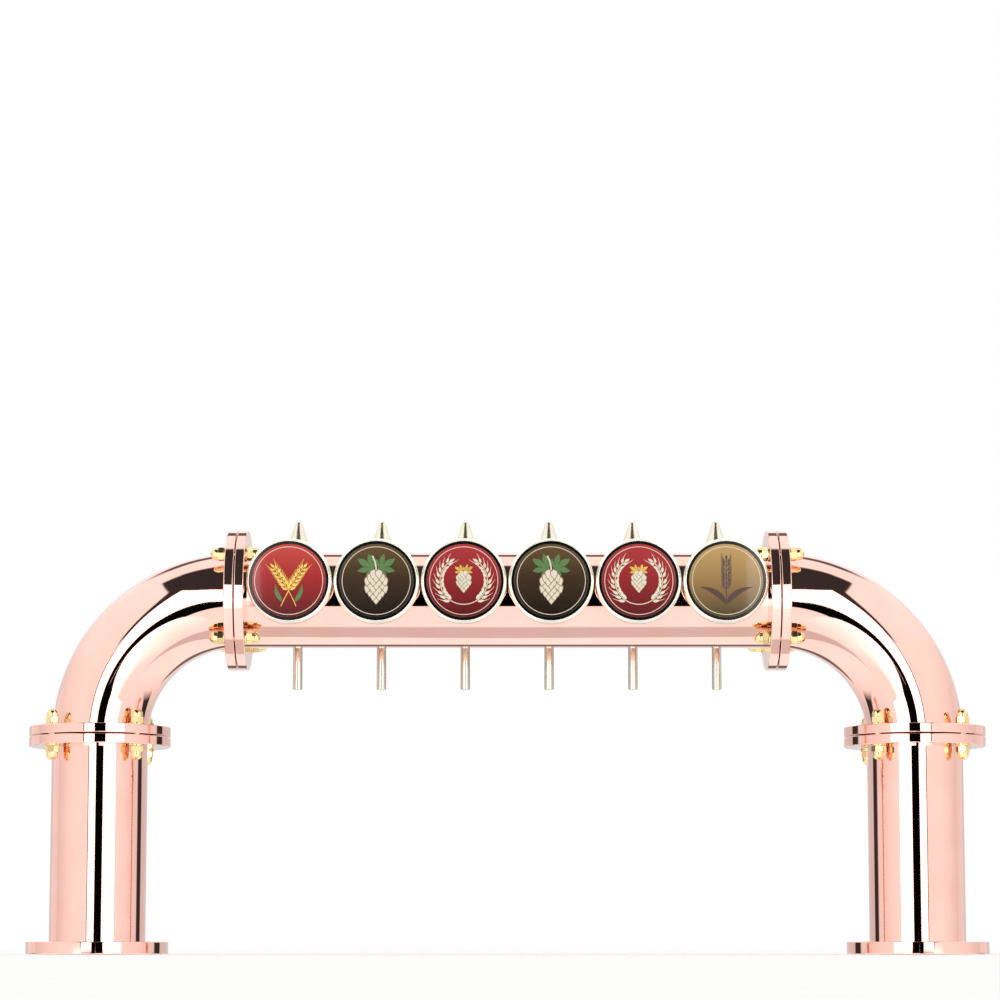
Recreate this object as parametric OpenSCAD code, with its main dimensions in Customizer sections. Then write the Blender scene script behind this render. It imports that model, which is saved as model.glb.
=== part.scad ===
// Bridge beer tower: two flanged columns, two elbows and a bridge tube carry six taps.
// Customers face -Y and the bartender +Y. The origin lies on the bar top, midway between the columns.

/* [Tubes] */
// Outside diameter of the columns, elbows and bridge
tube_od = 101.6; // [96:0.2:108]
// Wall thickness of the tubes
tube_wall = 2; // [1.5:0.1:3]
// Height of the bridge tube's axis above the bar top
bridge_height = 377; // [360:1:420]
// Radius of the elbows along their centre line
bend_radius = 146.5; // [135:0.5:160]

/* [Flanges] */
// Radial width of the flanges outside the tube
flange_rim = 24.2; // [22:0.1:28]
// Thickness of the joint flanges
flange_thickness = 10; // [9:0.5:15]
// Thickness of the base flanges
base_thickness = 13; // [12:0.5:18]
// Thickness of the gaskets between joint flanges
gasket_thickness = 1; // [0.6:0.1:1.5]
// Diameter of the joint studs
stud_diameter = 8; // [6:0.5:9]
// Diameter of the holes under the base flanges, for studs from below
base_hole_diameter = 6.8; // [5:0.1:9]
// Depth of the holes under the base flanges
base_hole_depth = 10; // [6:0.5:11]
// Diameter of the passage for beer lines through the base flanges
line_passage = 80; // [70:1:86]

/* [Medallions] */
// Outside diameter of the medallions
medallion_od = 90; // [80:1:100]
// Gap between neighbouring medallions
medallion_gap = 2; // [1:0.5:10]
// Height of the medallion centres above the bridge axis
medallion_rise = 13; // [6:1:18]
// Distance from the bridge tube to the back of the medallions
medallion_standoff = 4.2; // [3:0.1:8]
// Depth of the medallion cups
cup_depth = 11; // [9:0.5:14]
// Width of the bright bezel, seen from the front
bezel_face = 3; // [2.5:0.1:4]
// Width of the dark ring inside the bezel
ring_face = 3; // [2:0.1:5]

/* [Taps] */
// Outside radius of the tap barrels
barrel_radius = 13; // [12.5:0.1:15]
// Length of the coupling nuts
coupling_length = 11.6; // [11:0.1:14]
// Outside diameter of the spouts
spout_od = 10.5; // [9.5:0.1:11.5]
// Wall thickness of the spouts
spout_wall = 1.5; // [1:0.1:2]
// Distance from the bridge axis down to the spout mouths
spout_drop = 89; // [70:1:110]
// Swing of the tap handles from closed to open
handle_swing = 28; // [20:1:30]
// Length of the tap handles
handle_length = 73; // [60:1:90]
// Largest radius of the tap handles
handle_radius = 12.6; // [10:0.1:14]
// Radius of the rounded handle tips
tip_radius = 6.4; // [5:0.1:8]

/* [Beer lines] */
// Outside diameter of the beer lines
hose_od = 8; // [7:0.1:9]
// Wall thickness of the beer lines
hose_wall = 1.5; // [1:0.1:2]

/* [Hidden] */
$fn = 96;
TAP_COUNT = 6;
sides = ["left", "right"];
prints = ["red", "brown", "crimson", "gold"];
print_colours = ["firebrick", "#3a241b", "crimson", "goldenrod"];
// Which print each medallion carries, from left to right
print_of = ["red", "brown", "crimson", "brown", "crimson", "gold"];

// Clearances
fit = 0.05;
slack = 0.2;
over = 1;
edge_break = 0.8;

// Tubes and joints
tube_r = tube_od / 2;
bore_r = tube_r - tube_wall;
flange_r = tube_r + flange_rim;
bolt_circle_r = tube_r + flange_rim / 2;
half_gasket = gasket_thickness / 2;
gasket_rim = 4.84;
tap_pitch = medallion_od + medallion_gap;
end_gap = 2.5;
outer_tap_x = tap_pitch * (TAP_COUNT - 1) / 2;
bridge_half = outer_tap_x + medallion_od / 2 + end_gap + flange_thickness + half_gasket;
bend_x = bridge_half + half_gasket;
column_x = bend_x + bend_radius;
bend_z = bridge_height - bend_radius;
joint_z = bend_z - half_gasket;
socket_depth = base_thickness / 2;

// Studs, washers and dome nuts
stud_r = stud_diameter / 2;
stud_hole_gap = 0.5;
stud_hole_r = stud_r + stud_hole_gap;
washer_r = stud_diameter;
washer_thickness = stud_diameter / 5;
nut_corner_r = stud_diameter * 1.625 / sqrt(3);
nut_hex_height = stud_diameter * 0.8125;
nut_height = stud_diameter * 1.875;
dome_r = stud_diameter * 0.78;
nut_thread = stud_diameter * 1.35;
nut_seat = half_gasket + flange_thickness + washer_thickness;
stud_half = nut_seat + nut_thread - slack;

// Medallions, measured forward from the bridge axis
cup_back = tube_r + medallion_standoff;
cup_front = cup_back + cup_depth;
cup_wall = 3;
bezel_wall = 2;
cup_r = medallion_od / 2 - bezel_wall;
bezel_opening_r = medallion_od / 2 - bezel_face;
print_r = bezel_opening_r - ring_face;
ring_thickness = 4;
ring_ledge = 1;
ledge_width = 2.5;
ledge_r = print_r - ledge_width;
bezel_lip = 2;
ring_front = cup_front + ring_thickness;
bezel_front = ring_front + bezel_lip;
print_back = cup_front + ring_ledge;
print_proud = 0.8;
boss_r = 14;
medallion_stem_r = 6;
medallion_stem_head_r = 9;
medallion_stem_head = 2.5;
medallion_nut_r = 11;
medallion_nut_inset = 10.8;
medallion_stem_tail = 2.2;

// Taps, measured rearward from the bridge axis
saddle_rise = 3.7;
saddle_r = 16;
coupling_gap = 0.5;
barrel_gap = 1.4;
saddle_face = tube_r + saddle_rise;
coupling_start = saddle_face + coupling_gap;
coupling_end = coupling_start + coupling_length;
tap_y = coupling_end + barrel_gap + barrel_radius;

// Shanks
shank_r = 9;
shank_bore_r = 3.5;
saddle_nut_r = 14;
saddle_nut_inset = 10.8;
saddle_nut_clear = 2;
tail_r = 5;
tail_length = 12;
tail_base = bore_r - saddle_nut_inset - saddle_nut_clear;
tail_end = tail_base - tail_length;

// Coupling between shank and tap, measured from the tap's own axis
coupling_flats = 24;
coupling_corner_r = coupling_flats / sqrt(3);
lip = 1.6;
lip_face = coupling_end - lip - tap_y;
neck_r = 8.5;
neck_flange_r = 10.5;
neck_flange = 2;
neck_face = lip_face - fit - neck_flange;

// Valve, measured from the tap's own axis
seat_inset = 1;
seat_face = seat_inset - barrel_radius;
seat_wall = 1.8;
chamber_front = seat_face + seat_wall;
chamber_back = 6.5;
chamber_r = 7;
inlet_r = 6.2;
inlet_depth = 4;
seat_r = 4.3;
guide_r = 2.5;
guide_depth = 7.8;
rear_boss_r = 6;
rear_boss_wall = 1.7;
rear_boss_end = chamber_back + guide_depth + rear_boss_wall;
washer_seal_r = 5.6;
washer_seal = 2.5;
stem_head_r = 3.5;
stem_head = 1.05;
stem_core_r = 2.2;
eye_r = 2.35;
eye_relief_r = 3.7;
eye_block_r = 4.1;
eye_half = 4.2;
tail_gap = 1;

// Ball levers, with heights above the bridge axis
pivot_rise = 11;
ball_r = 5.5;
lever_r = 2.6;
lever_length = 25;
finger_r = 1.3;
finger_ball_r = 2;
finger_hole_r = 4.4;
ball_clear = 0.08;
ball_pocket_r = ball_r + ball_clear;
mouth_spare = 2;
mouth_angle = handle_swing + asin(lever_r / ball_r) + mouth_spare;
shoulder = 8.5;
spigot_r = 9.5;
spigot_top = 12.5;
bonnet_r = 12.5;
bonnet_top = 15.2;
bonnet_seat = 0.2;
barrel_bottom = -14;
hub_wall = 2.75;
hub_length = 6;
spout_socket = 3;
spout_r = spout_od / 2;
hub_r = spout_r + hub_wall;
hub_bottom = barrel_bottom - hub_length;
spout_top = barrel_bottom + spout_socket;
spout_bore_r = spout_r - spout_wall;

// Handles, with heights above the bridge axis
handle_clear = 13;
handle_shoulder = 43.07;
handle_bottom = pivot_rise + handle_clear;
handle_top = handle_bottom + handle_length;
ferrule_r = 5;
ferrule = 3;
handle_band = 3;
tip_centre = handle_top - tip_radius;
shoulder_top = handle_bottom + handle_shoulder;
tip_reach = tip_centre - shoulder_top;
taper = atan2(handle_radius, tip_reach) - asin(tip_radius / norm([handle_radius, tip_reach]));
tip_joint = tip_centre + tip_radius * sin(taper);
tip_joint_r = tip_radius * cos(taper);

// Beer lines and their fittings
hose_r = hose_od / 2;
hose_bore_r = hose_r - hose_wall;
port_wall = 2.5;
port_r = hose_r + port_wall;
port_length = 14;
port_stop = 5;
fitting_wall = 2.5;
fitting_r = tail_r + fitting_wall;
fitting_bore_r = 3;
lane_first = 10;
lane_gap = 1.5;
lane_pitch = hose_r + port_r + lane_gap;
lanes = TAP_COUNT / 2;
coupler_wall = 3;
coupler_r = hose_r + coupler_wall;
coupler_length = 30;
coupler_socket = 13;
coupler_foot = 22;
coupler_step = 36;

function tap_x(i) = (i - (TAP_COUNT + 1) / 2) * tap_pitch;
function lane_y(k) = lane_first - k * lane_pitch;

// Round bars along each axis, between two stations
module bar_x(r, from, to) {
  translate([from, 0, 0]) rotate([0, 90, 0]) cylinder(r = r, h = to - from);
}

module bar_y(r, from, to) {
  translate([0, from, 0]) rotate([-90, 0, 0]) cylinder(r = r, h = to - from);
}

module bar_z(r, from, to) {
  translate([0, 0, from]) cylinder(r = r, h = to - from);
}

// Disc on z = 0 with broken edges
module disc(r, h, edge) {
  rotate_extrude()
    polygon([[0, 0], [r - edge, 0], [r, edge], [r, h - edge], [r - edge, h], [0, h]]);
}

// Places the children on one side of the tower: the left is the mirror image of the right
module on_side(s) {
  mirror([s == "left" ? 1 : 0, 0, 0]) children();
}

// Joint frames on the right: local +Z points out of the joint, into the elbow
module at_foot_joint() {
  translate([column_x, 0, joint_z]) children();
}

module at_head_joint() {
  translate([bridge_half, 0, bridge_height]) rotate([0, 90, 0]) children();
}

module at_joints() {
  for (s = sides) on_side(s) {
    at_foot_joint() children();
    at_head_joint() children();
  }
}

module at_studs() {
  for (k = [0:3]) rotate([0, 0, 45 + 90 * k]) translate([bolt_circle_r, 0, 0]) children();
}

module at_taps() {
  for (i = [1:TAP_COUNT]) at_tap(i) children();
}

// Tap frame: on the barrel's axis, level with the bridge axis
module at_tap(i) {
  translate([tap_x(i), tap_y, bridge_height]) children();
}

// Medallion frame: local +Z points at the customers, measured from the bridge axis
module at_medallion(i) {
  translate([tap_x(i), 0, bridge_height + medallion_rise]) rotate([90, 0, 0]) children();
}

module at_medallions() {
  for (i = [1:TAP_COUNT]) at_medallion(i) children();
}

// Solid bar on the bridge axis, used to cut saddles
module bridge_bar(r) {
  translate([0, 0, bridge_height]) bar_x(r, -bridge_half, bridge_half);
}

// The elbow's path on the right, swept with the children's section
module bend(angle) {
  translate([bend_x, 0, bend_z])
    rotate([90, 0, 0])
      rotate_extrude(angle = angle)
        translate([bend_radius, 0]) children();
}

module joint_flange() {
  difference() {
    disc(flange_r, flange_thickness, edge_break);
    at_studs() bar_z(stud_hole_r, -over, flange_thickness + over);
  }
}

module base_flange(s) {
  color("#d9a58f") on_side(s) translate([column_x, 0, 0]) difference() {
    disc(flange_r, base_thickness, edge_break);
    bar_z(tube_r, base_thickness - socket_depth, base_thickness + over);
    bar_z(line_passage / 2, -over, base_thickness);
    at_studs() bar_z(base_hole_diameter / 2, -over, base_hole_depth);
  }
}

module column(s) {
  color("#e7b39d") on_side(s) translate([column_x, 0, 0]) difference() {
    bar_z(tube_r, base_thickness - socket_depth, joint_z - half_gasket);
    bar_z(bore_r, 0, joint_z + over);
  }
}

module column_flange(s) {
  color("#d9a58f") on_side(s) at_foot_joint() difference() {
    translate([0, 0, -half_gasket - flange_thickness]) joint_flange();
    bar_z(tube_r, -half_gasket - flange_thickness - over, half_gasket);
  }
}

module elbow_foot_flange(s) {
  color("#d9a58f") on_side(s) difference() {
    at_foot_joint() translate([0, 0, half_gasket]) joint_flange();
    bend(360) circle(r = tube_r);
  }
}

module elbow(s) {
  color("#e7b39d") on_side(s) bend(90) difference() {
    circle(r = tube_r);
    circle(r = bore_r);
  }
}

module elbow_head_flange(s) {
  color("#d9a58f") on_side(s) difference() {
    at_head_joint() translate([0, 0, half_gasket]) joint_flange();
    bend(360) circle(r = tube_r);
  }
}

module bridge_flange(s) {
  color("#d9a58f") on_side(s) at_head_joint() difference() {
    translate([0, 0, -half_gasket - flange_thickness]) joint_flange();
    bar_z(tube_r, -half_gasket - flange_thickness - over, half_gasket);
  }
}

module bridge_tube() {
  color("#e7b39d") difference() {
    translate([0, 0, bridge_height])
      bar_x(tube_r, half_gasket - bridge_half, bridge_half - half_gasket);
    bridge_bar(bore_r);
    at_taps() bar_y(shank_r + slack, -tap_y, 0);
    at_medallions() bar_z(medallion_stem_r + slack, 0, tube_r + over);
  }
}

module flange_gaskets() {
  color("#2b2b2b") at_joints() difference() {
    bar_z(tube_r + gasket_rim, -half_gasket, half_gasket);
    bar_z(bore_r, -gasket_thickness, gasket_thickness);
  }
}

module flange_studs() {
  color("#cfa95c") at_joints() at_studs() bar_z(stud_r, -stud_half, stud_half);
}

module flange_washers() {
  color("#cfa95c") at_joints() at_studs() for (m = [0, 1]) mirror([0, 0, m]) difference() {
    bar_z(washer_r, nut_seat - washer_thickness, nut_seat);
    bar_z(stud_r + slack, 0, nut_seat + over);
  }
}

module dome_nut() {
  difference() {
    union() {
      cylinder(r = nut_corner_r, h = nut_hex_height, $fn = 6);
      bar_z(dome_r, 0, nut_height - dome_r);
      translate([0, 0, nut_height - dome_r]) sphere(r = dome_r);
    }
    bar_z(stud_r + fit, -over, nut_thread);
  }
}

module dome_nuts() {
  color("#e3bf74") at_joints() at_studs() for (m = [0, 1]) mirror([0, 0, m])
    translate([0, 0, nut_seat]) dome_nut();
}

module medallion_cups() {
  color("#c9c6bd") difference() {
    at_medallions() difference() {
      union() {
        translate([0, 0, cup_back]) disc(cup_r, cup_depth, edge_break);
        bar_z(boss_r, tube_r / 2, cup_back + cup_wall);
      }
      bar_z(cup_r - cup_wall, cup_back + cup_wall, cup_front + over);
      bar_z(medallion_stem_r + slack, 0, cup_front);
    }
    bridge_bar(tube_r);
  }
}

module medallion_stems() {
  color("#b9b6ad") at_medallions() {
    bar_z(medallion_stem_r, bore_r - medallion_nut_inset - medallion_stem_tail, cup_back + cup_wall);
    bar_z(medallion_stem_head_r, cup_back + cup_wall, cup_back + cup_wall + medallion_stem_head);
  }
}

module medallion_nuts() {
  color("#b9b6ad") intersection() {
    at_medallions() difference() {
      bar_z(medallion_nut_r, bore_r - medallion_nut_inset, tube_r);
      bar_z(medallion_stem_r + fit, 0, tube_r + over);
    }
    bridge_bar(bore_r);
  }
}

module medallion_rings() {
  color("#141414") at_medallions() rotate_extrude() polygon([
    [ledge_r, cup_front],
    [cup_r - fit, cup_front],
    [cup_r - fit, ring_front],
    [print_r + fit, ring_front],
    [print_r + fit, print_back],
    [ledge_r, print_back]
  ]);
}

module medallion_bezels() {
  outer_r = medallion_od / 2;
  color("#d8d4c8") at_medallions() rotate_extrude() polygon([
    [cup_r + fit, cup_back + cup_wall],
    [outer_r, cup_back + cup_wall],
    [outer_r, bezel_front - bezel_wall / 2],
    [outer_r - bezel_face / 2, bezel_front],
    [bezel_opening_r + bezel_wall / 4, bezel_front],
    [bezel_opening_r, bezel_front - bezel_wall / 4],
    [bezel_opening_r, ring_front],
    [cup_r + fit, ring_front]
  ]);
}

module medallion_print(p) {
  color(print_colours[search([p], prints)[0]])
    for (i = [1:TAP_COUNT]) if (print_of[i - 1] == p) at_medallion(i)
      translate([0, 0, print_back]) disc(print_r, ring_front + print_proud - print_back, edge_break / 2);
}

module tap_shanks() {
  color("#b9b6ad") at_taps() difference() {
    union() {
      bar_y(shank_r, tail_base - tap_y, neck_face);
      bar_y(tail_r, tail_end - tap_y, neck_face);
    }
    bar_y(shank_bore_r, tail_end - tap_y - over, neck_face);
    bar_y(inlet_r, neck_face - inlet_depth, neck_face + over);
  }
}

module shank_saddles() {
  color("#d8d4c8") difference() {
    at_taps() difference() {
      bar_y(saddle_r, tube_r / 2 - tap_y, saddle_face - tap_y);
      bar_y(shank_r + slack, -tap_y, over);
    }
    bridge_bar(tube_r);
  }
}

module shank_nuts() {
  color("#b9b6ad") intersection() {
    at_taps() difference() {
      bar_y(saddle_nut_r, bore_r - saddle_nut_inset - tap_y, tube_r - tap_y);
      bar_y(shank_r + fit, -tap_y, over);
    }
    bridge_bar(bore_r);
  }
}

module coupling_nuts() {
  start = coupling_start - tap_y;
  color("#d8d4c8") at_taps() difference() {
    translate([0, start, 0]) rotate([-90, 0, 0])
      cylinder(r = coupling_corner_r, h = coupling_length, $fn = 6);
    bar_y(shank_r + fit, start - over, lip_face);
    bar_y(neck_flange_r + slack, neck_face - fit, lip_face);
    bar_y(neck_r + slack, start, 0);
  }
}

module tap_body(i) {
  color("#d8d4c8") at_tap(i) difference() {
    union() {
      translate([0, 0, barrel_bottom]) disc(barrel_radius, shoulder - barrel_bottom, edge_break);
      bar_z(spigot_r, barrel_bottom, spigot_top);
      bar_z(hub_r, hub_bottom, 0);
      bar_y(neck_r, neck_face, 0);
      bar_y(neck_flange_r, neck_face, neck_face + neck_flange);
      bar_y(rear_boss_r, 0, rear_boss_end);
    }
    bar_y(inlet_r, neck_face - over, seat_face);
    bar_y(seat_r, neck_face, 0);
    bar_y(chamber_r, chamber_front, chamber_back);
    bar_y(guide_r + fit, 0, chamber_back + guide_depth);
    translate([0, 0, pivot_rise]) sphere(r = ball_pocket_r);
    bar_z(ball_pocket_r, pivot_rise, spigot_top + over);
    bar_z(finger_hole_r, 0, pivot_rise);
    bar_z(spout_bore_r, spout_top - over, 0);
    bar_z(spout_r + fit, hub_bottom - over, spout_top);
  }
}

module tap_bonnets() {
  mouth = 2 * (bonnet_top - pivot_rise);
  color("#d8d4c8") at_taps() difference() {
    translate([0, 0, shoulder + bonnet_seat])
      disc(bonnet_r, bonnet_top - shoulder - bonnet_seat, edge_break);
    bar_z(spigot_r + fit, shoulder, spigot_top + fit);
    translate([0, 0, pivot_rise]) sphere(r = ball_pocket_r);
    translate([0, 0, pivot_rise]) cylinder(r1 = 0, r2 = mouth * tan(mouth_angle), h = mouth);
  }
}

module tap_spouts() {
  color("#d8d4c8") at_taps() difference() {
    bar_z(spout_r, -spout_drop, spout_top);
    bar_z(spout_bore_r, -spout_drop - over, spout_top + over);
  }
}

module valve_stem(i) {
  seal_back = seat_face - fit;
  color("#8f8c84") at_tap(i) difference() {
    union() {
      bar_y(washer_seal_r, seal_back - washer_seal, seal_back);
      bar_y(stem_head_r, seal_back - washer_seal - stem_head, seal_back);
      bar_y(stem_core_r, seal_back - washer_seal, 0);
      bar_y(eye_block_r, -eye_half, eye_half);
      bar_y(guide_r, 0, chamber_back + guide_depth - tail_gap);
    }
    bar_z(eye_r, -eye_block_r - over, eye_block_r + over);
    bar_z_cone(eye_r, eye_relief_r, 0, eye_block_r + over / 4);
  }
}

// Cone along Z, between two stations
module bar_z_cone(r_from, r_to, from, to) {
  translate([0, 0, from]) cylinder(r1 = r_from, r2 = r_to, h = to - from);
}

module tap_lever(i) {
  color("#c9c6bd") at_tap(i) {
    translate([0, 0, pivot_rise]) sphere(r = ball_r);
    bar_z(lever_r, pivot_rise, pivot_rise + lever_length);
    bar_z(finger_r, 0, pivot_rise);
    sphere(r = finger_ball_r);
  }
}

module tap_handle(i) {
  color("#d8d4c8") at_tap(i) difference() {
    union() {
      rotate_extrude() polygon([
        [0, handle_bottom],
        [ferrule_r, handle_bottom],
        [ferrule_r, handle_bottom + ferrule],
        [handle_radius, shoulder_top - handle_band],
        [handle_radius, shoulder_top],
        [tip_joint_r, tip_joint],
        [0, tip_joint]
      ]);
      translate([0, 0, tip_centre]) sphere(r = tip_radius);
    }
    bar_z(lever_r + fit, handle_bottom - over, pivot_rise + lever_length + slack);
  }
}

// One line on the right, from its port to its coupler: lane 0 serves the outermost tap
module line_path(k, r, extra) {
  translate([0, lane_y(k), 0]) {
    translate([0, 0, bridge_height]) bar_x(r, outer_tap_x - k * tap_pitch + port_stop - extra, bend_x);
    bend(90) circle(r = r);
    translate([column_x, 0, 0]) bar_z(r, coupler_top(k) - coupler_socket - extra, bend_z);
  }
}

function coupler_top(k) = coupler_foot + coupler_length + (k % 2) * coupler_step;

module beer_lines() {
  color("#d9e2e6") for (s = sides) on_side(s) for (k = [0:lanes - 1]) difference() {
    line_path(k, hose_r, 0);
    line_path(k, hose_bore_r, over);
  }
}

module elbow_fitting(k) {
  y = lane_y(k);
  translate([outer_tap_x - k * tap_pitch, 0, bridge_height]) difference() {
    union() {
      bar_y(fitting_r, y - port_r, tail_base - slack);
      translate([0, y, 0]) bar_x(port_r, 0, port_length);
    }
    bar_y(tail_r + fit, tail_end - slack, tail_base);
    bar_y(fitting_bore_r, y, tail_base);
    translate([0, y, 0]) bar_x(fitting_bore_r, 0, port_length);
    translate([0, y, 0]) bar_x(hose_r + fit, port_stop, port_length + over);
  }
}

module coupler(k) {
  top = coupler_top(k);
  translate([column_x, lane_y(k), 0]) difference() {
    bar_z(coupler_r, top - coupler_length, top);
    bar_z(fitting_bore_r, top - coupler_length - over, top);
    bar_z(hose_r + fit, top - coupler_socket, top + over);
    bar_z(hose_r + fit, top - coupler_length - over, top - coupler_length + coupler_socket);
  }
}

module line_fittings() {
  color("#5a5f63") for (s = sides) on_side(s) for (k = [0:lanes - 1]) {
    elbow_fitting(k);
    coupler(k);
  }
}

for (s = sides) {
  base_flange(s);
  column(s);
  column_flange(s);
  elbow_foot_flange(s);
  elbow(s);
  elbow_head_flange(s);
  bridge_flange(s);
}
bridge_tube();
flange_gaskets();
flange_studs();
flange_washers();
dome_nuts();
medallion_cups();
medallion_stems();
medallion_nuts();
medallion_rings();
medallion_bezels();
for (p = prints) {
  medallion_print(p);
}
tap_shanks();
shank_saddles();
shank_nuts();
coupling_nuts();
tap_bonnets();
tap_spouts();
for (i = [1:TAP_COUNT]) {
  tap_body(i);
  valve_stem(i);
  tap_lever(i);
  tap_handle(i);
}
beer_lines();
line_fittings();
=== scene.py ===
"""Looks of a copper bridge beer tower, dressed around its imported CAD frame.

The medallions face the customers at -Y, and the bartender stands at +Y. All sizes are metres, in the
frame's own axes.
"""

import logging
import math
from collections.abc import Sequence
from dataclasses import dataclass, field
from enum import Enum
from typing import Self

import bpy
from mathutils import Matrix, Vector
from mathutils.geometry import tessellate_polygon

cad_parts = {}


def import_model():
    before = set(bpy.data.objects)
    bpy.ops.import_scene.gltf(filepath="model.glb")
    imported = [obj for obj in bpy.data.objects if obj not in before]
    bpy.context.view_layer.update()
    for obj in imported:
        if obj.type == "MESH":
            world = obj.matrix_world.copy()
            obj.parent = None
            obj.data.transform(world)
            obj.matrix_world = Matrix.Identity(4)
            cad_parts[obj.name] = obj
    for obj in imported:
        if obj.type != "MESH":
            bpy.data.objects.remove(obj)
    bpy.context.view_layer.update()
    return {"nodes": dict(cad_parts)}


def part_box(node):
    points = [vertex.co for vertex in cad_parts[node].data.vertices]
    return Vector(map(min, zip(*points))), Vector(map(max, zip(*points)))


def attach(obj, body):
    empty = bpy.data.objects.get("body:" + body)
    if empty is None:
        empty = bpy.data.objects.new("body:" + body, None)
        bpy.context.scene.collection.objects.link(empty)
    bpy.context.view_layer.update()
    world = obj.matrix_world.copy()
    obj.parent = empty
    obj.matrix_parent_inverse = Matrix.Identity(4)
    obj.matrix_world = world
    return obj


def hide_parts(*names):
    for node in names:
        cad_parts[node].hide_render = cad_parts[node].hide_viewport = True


LOG = logging.getLogger("bridge_tower")
MM = 0.001
# A quarter turn, and the heading that points up on a print
QUARTER = math.pi / 2
UP = QUARTER
UPRIGHT = Matrix.Identity(4)
SIDES = {"left": -1, "right": 1}
# Numbers of the taps, and of the medallions in front of them, from the left
TAPS = range(1, 7)
TOWER = "tower"
# Play of a close fit, clearance of a loose one, and how far a seat sinks into the bridge
PLAY = 0.05 * MM
CLEARANCE = 0.2 * MM
SEAT_SINK = 0.3 * MM
# Decimals of a metre to which two points have to agree to be one
SAME_PLACE = 7
# Shares of a nut's width that soften its corners and that its chamfers leave of its ends
HEX_SOFT = 0.03
HEX_CUT = 0.97


# Colour and node helpers


def srgb(code: str) -> tuple[float, ...]:
    """Turns an sRGB hex code into a linear colour.

    Args:
        code: Six hex digits.

    Returns:
        Linear red, green and blue, with alpha 1.
    """
    values = [int(code[i : i + 2], 16) / 255 for i in (0, 2, 4)]
    linear = [v / 12.92 if v <= 0.04045 else ((v + 0.055) / 1.055) ** 2.4 for v in values]
    return (*linear, 1.0)


def add_node(
    tree: bpy.types.NodeTree,
    kind: str,
    settings: dict | None = None,
    links: dict | None = None,
    stops: Sequence[tuple[float, str]] = (),
) -> bpy.types.Node:
    """Adds one node with its settings and incoming links.

    Args:
        tree: The node tree that takes the node.
        kind: The node's type name.
        settings: Attributes by name, or socket values by socket name or number.
        links: Sockets to link, or nodes for their first output, by input name or number.
        stops: Places from 0 to 1 with their hex colours, for a colour ramp.

    Returns:
        The new node.
    """
    node = tree.nodes.new(kind)
    for key, value in (settings or {}).items():
        if isinstance(key, str) and hasattr(node, key):
            setattr(node, key, value)
        else:
            node.inputs[key].default_value = value
    for key, source in (links or {}).items():
        tree.links.new(getattr(source, "outputs", [source])[0], node.inputs[key])
    for k, (place, code) in enumerate(stops):
        elements = node.color_ramp.elements
        element = elements[k] if k < len(elements) else elements.new(place)
        element.position = place
        element.color = srgb(code)
    return node


def add_object(name: str, data: bpy.types.ID) -> bpy.types.Object:
    """Links a new object to the scene, at its origin.

    Args:
        name: The object's name.
        data: Its mesh, lamp or camera.

    Returns:
        The new object.
    """
    made = bpy.data.objects.new(name, data)
    bpy.context.scene.collection.objects.link(made)
    return made


# Finishes


@dataclass(frozen=True)
class Finish:
    """What a surface is made of, as one material that its pieces share."""

    name: str

    def material(self) -> bpy.types.Material:
        """Builds the material, unless it exists.

        Returns:
            The material.
        """
        made = bpy.data.materials.get(self.name)
        if made is None:
            made = bpy.data.materials.new(self.name)
            made.use_nodes = True
            tree = made.node_tree
            tree.nodes.clear()
            place = add_node(tree, "ShaderNodeTexCoord").outputs["Object"]
            add_node(tree, "ShaderNodeOutputMaterial", links={"Surface": self.shader(tree, place)})
        return made

    def shader(self, tree: bpy.types.NodeTree, place: bpy.types.NodeSocket) -> bpy.types.Node:
        """Adds the finish's shader and the patterns that feed it.

        Args:
            tree: The material's nodes.
            place: The pieces' own coordinates.

        Returns:
            The shader.
        """
        raise NotImplementedError(self.name)


@dataclass(frozen=True)
class Metal(Finish):
    """A plated or solid metal with faint tarnish clouds and polishing marks."""

    colour: str
    clouded: str
    roughness: float
    smear: float
    # Width of a tarnish cloud, and of a polishing mark, drawn coarser than a real one so that it shows
    cloud_mm: float = 45.0
    scratch_mm: float = 1.2

    def shader(self, tree: bpy.types.NodeTree, place: bpy.types.NodeSocket) -> bpy.types.Node:
        """Adds a metal whose clouds tint it and whose marks roughen it.

        Args:
            tree: The material's nodes.
            place: The pieces' own coordinates.

        Returns:
            The shader.
        """
        noise, at = "ShaderNodeTexNoise", {"Vector": place}
        clouds = add_node(tree, noise, {"Scale": 1 / (self.cloud_mm * MM), "Detail": 3.0}, at)
        tints = [(0.35, self.colour), (0.75, self.clouded)]
        tint = add_node(tree, "ShaderNodeValToRGB", links={"Fac": clouds}, stops=tints)
        marks = add_node(tree, noise, {"Scale": 1 / (self.scratch_mm * MM), "Detail": 4.0}, at)
        span = {"From Min": 0.3, "From Max": 0.8}
        haze = {"To Min": self.roughness, "To Max": self.roughness + self.smear}
        rough = add_node(tree, "ShaderNodeMapRange", span | haze, {"Value": marks})
        looks = {"Base Color": tint, "Roughness": rough}
        return add_node(tree, "ShaderNodeBsdfPrincipled", {"Metallic": 1.0}, looks)


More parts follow.
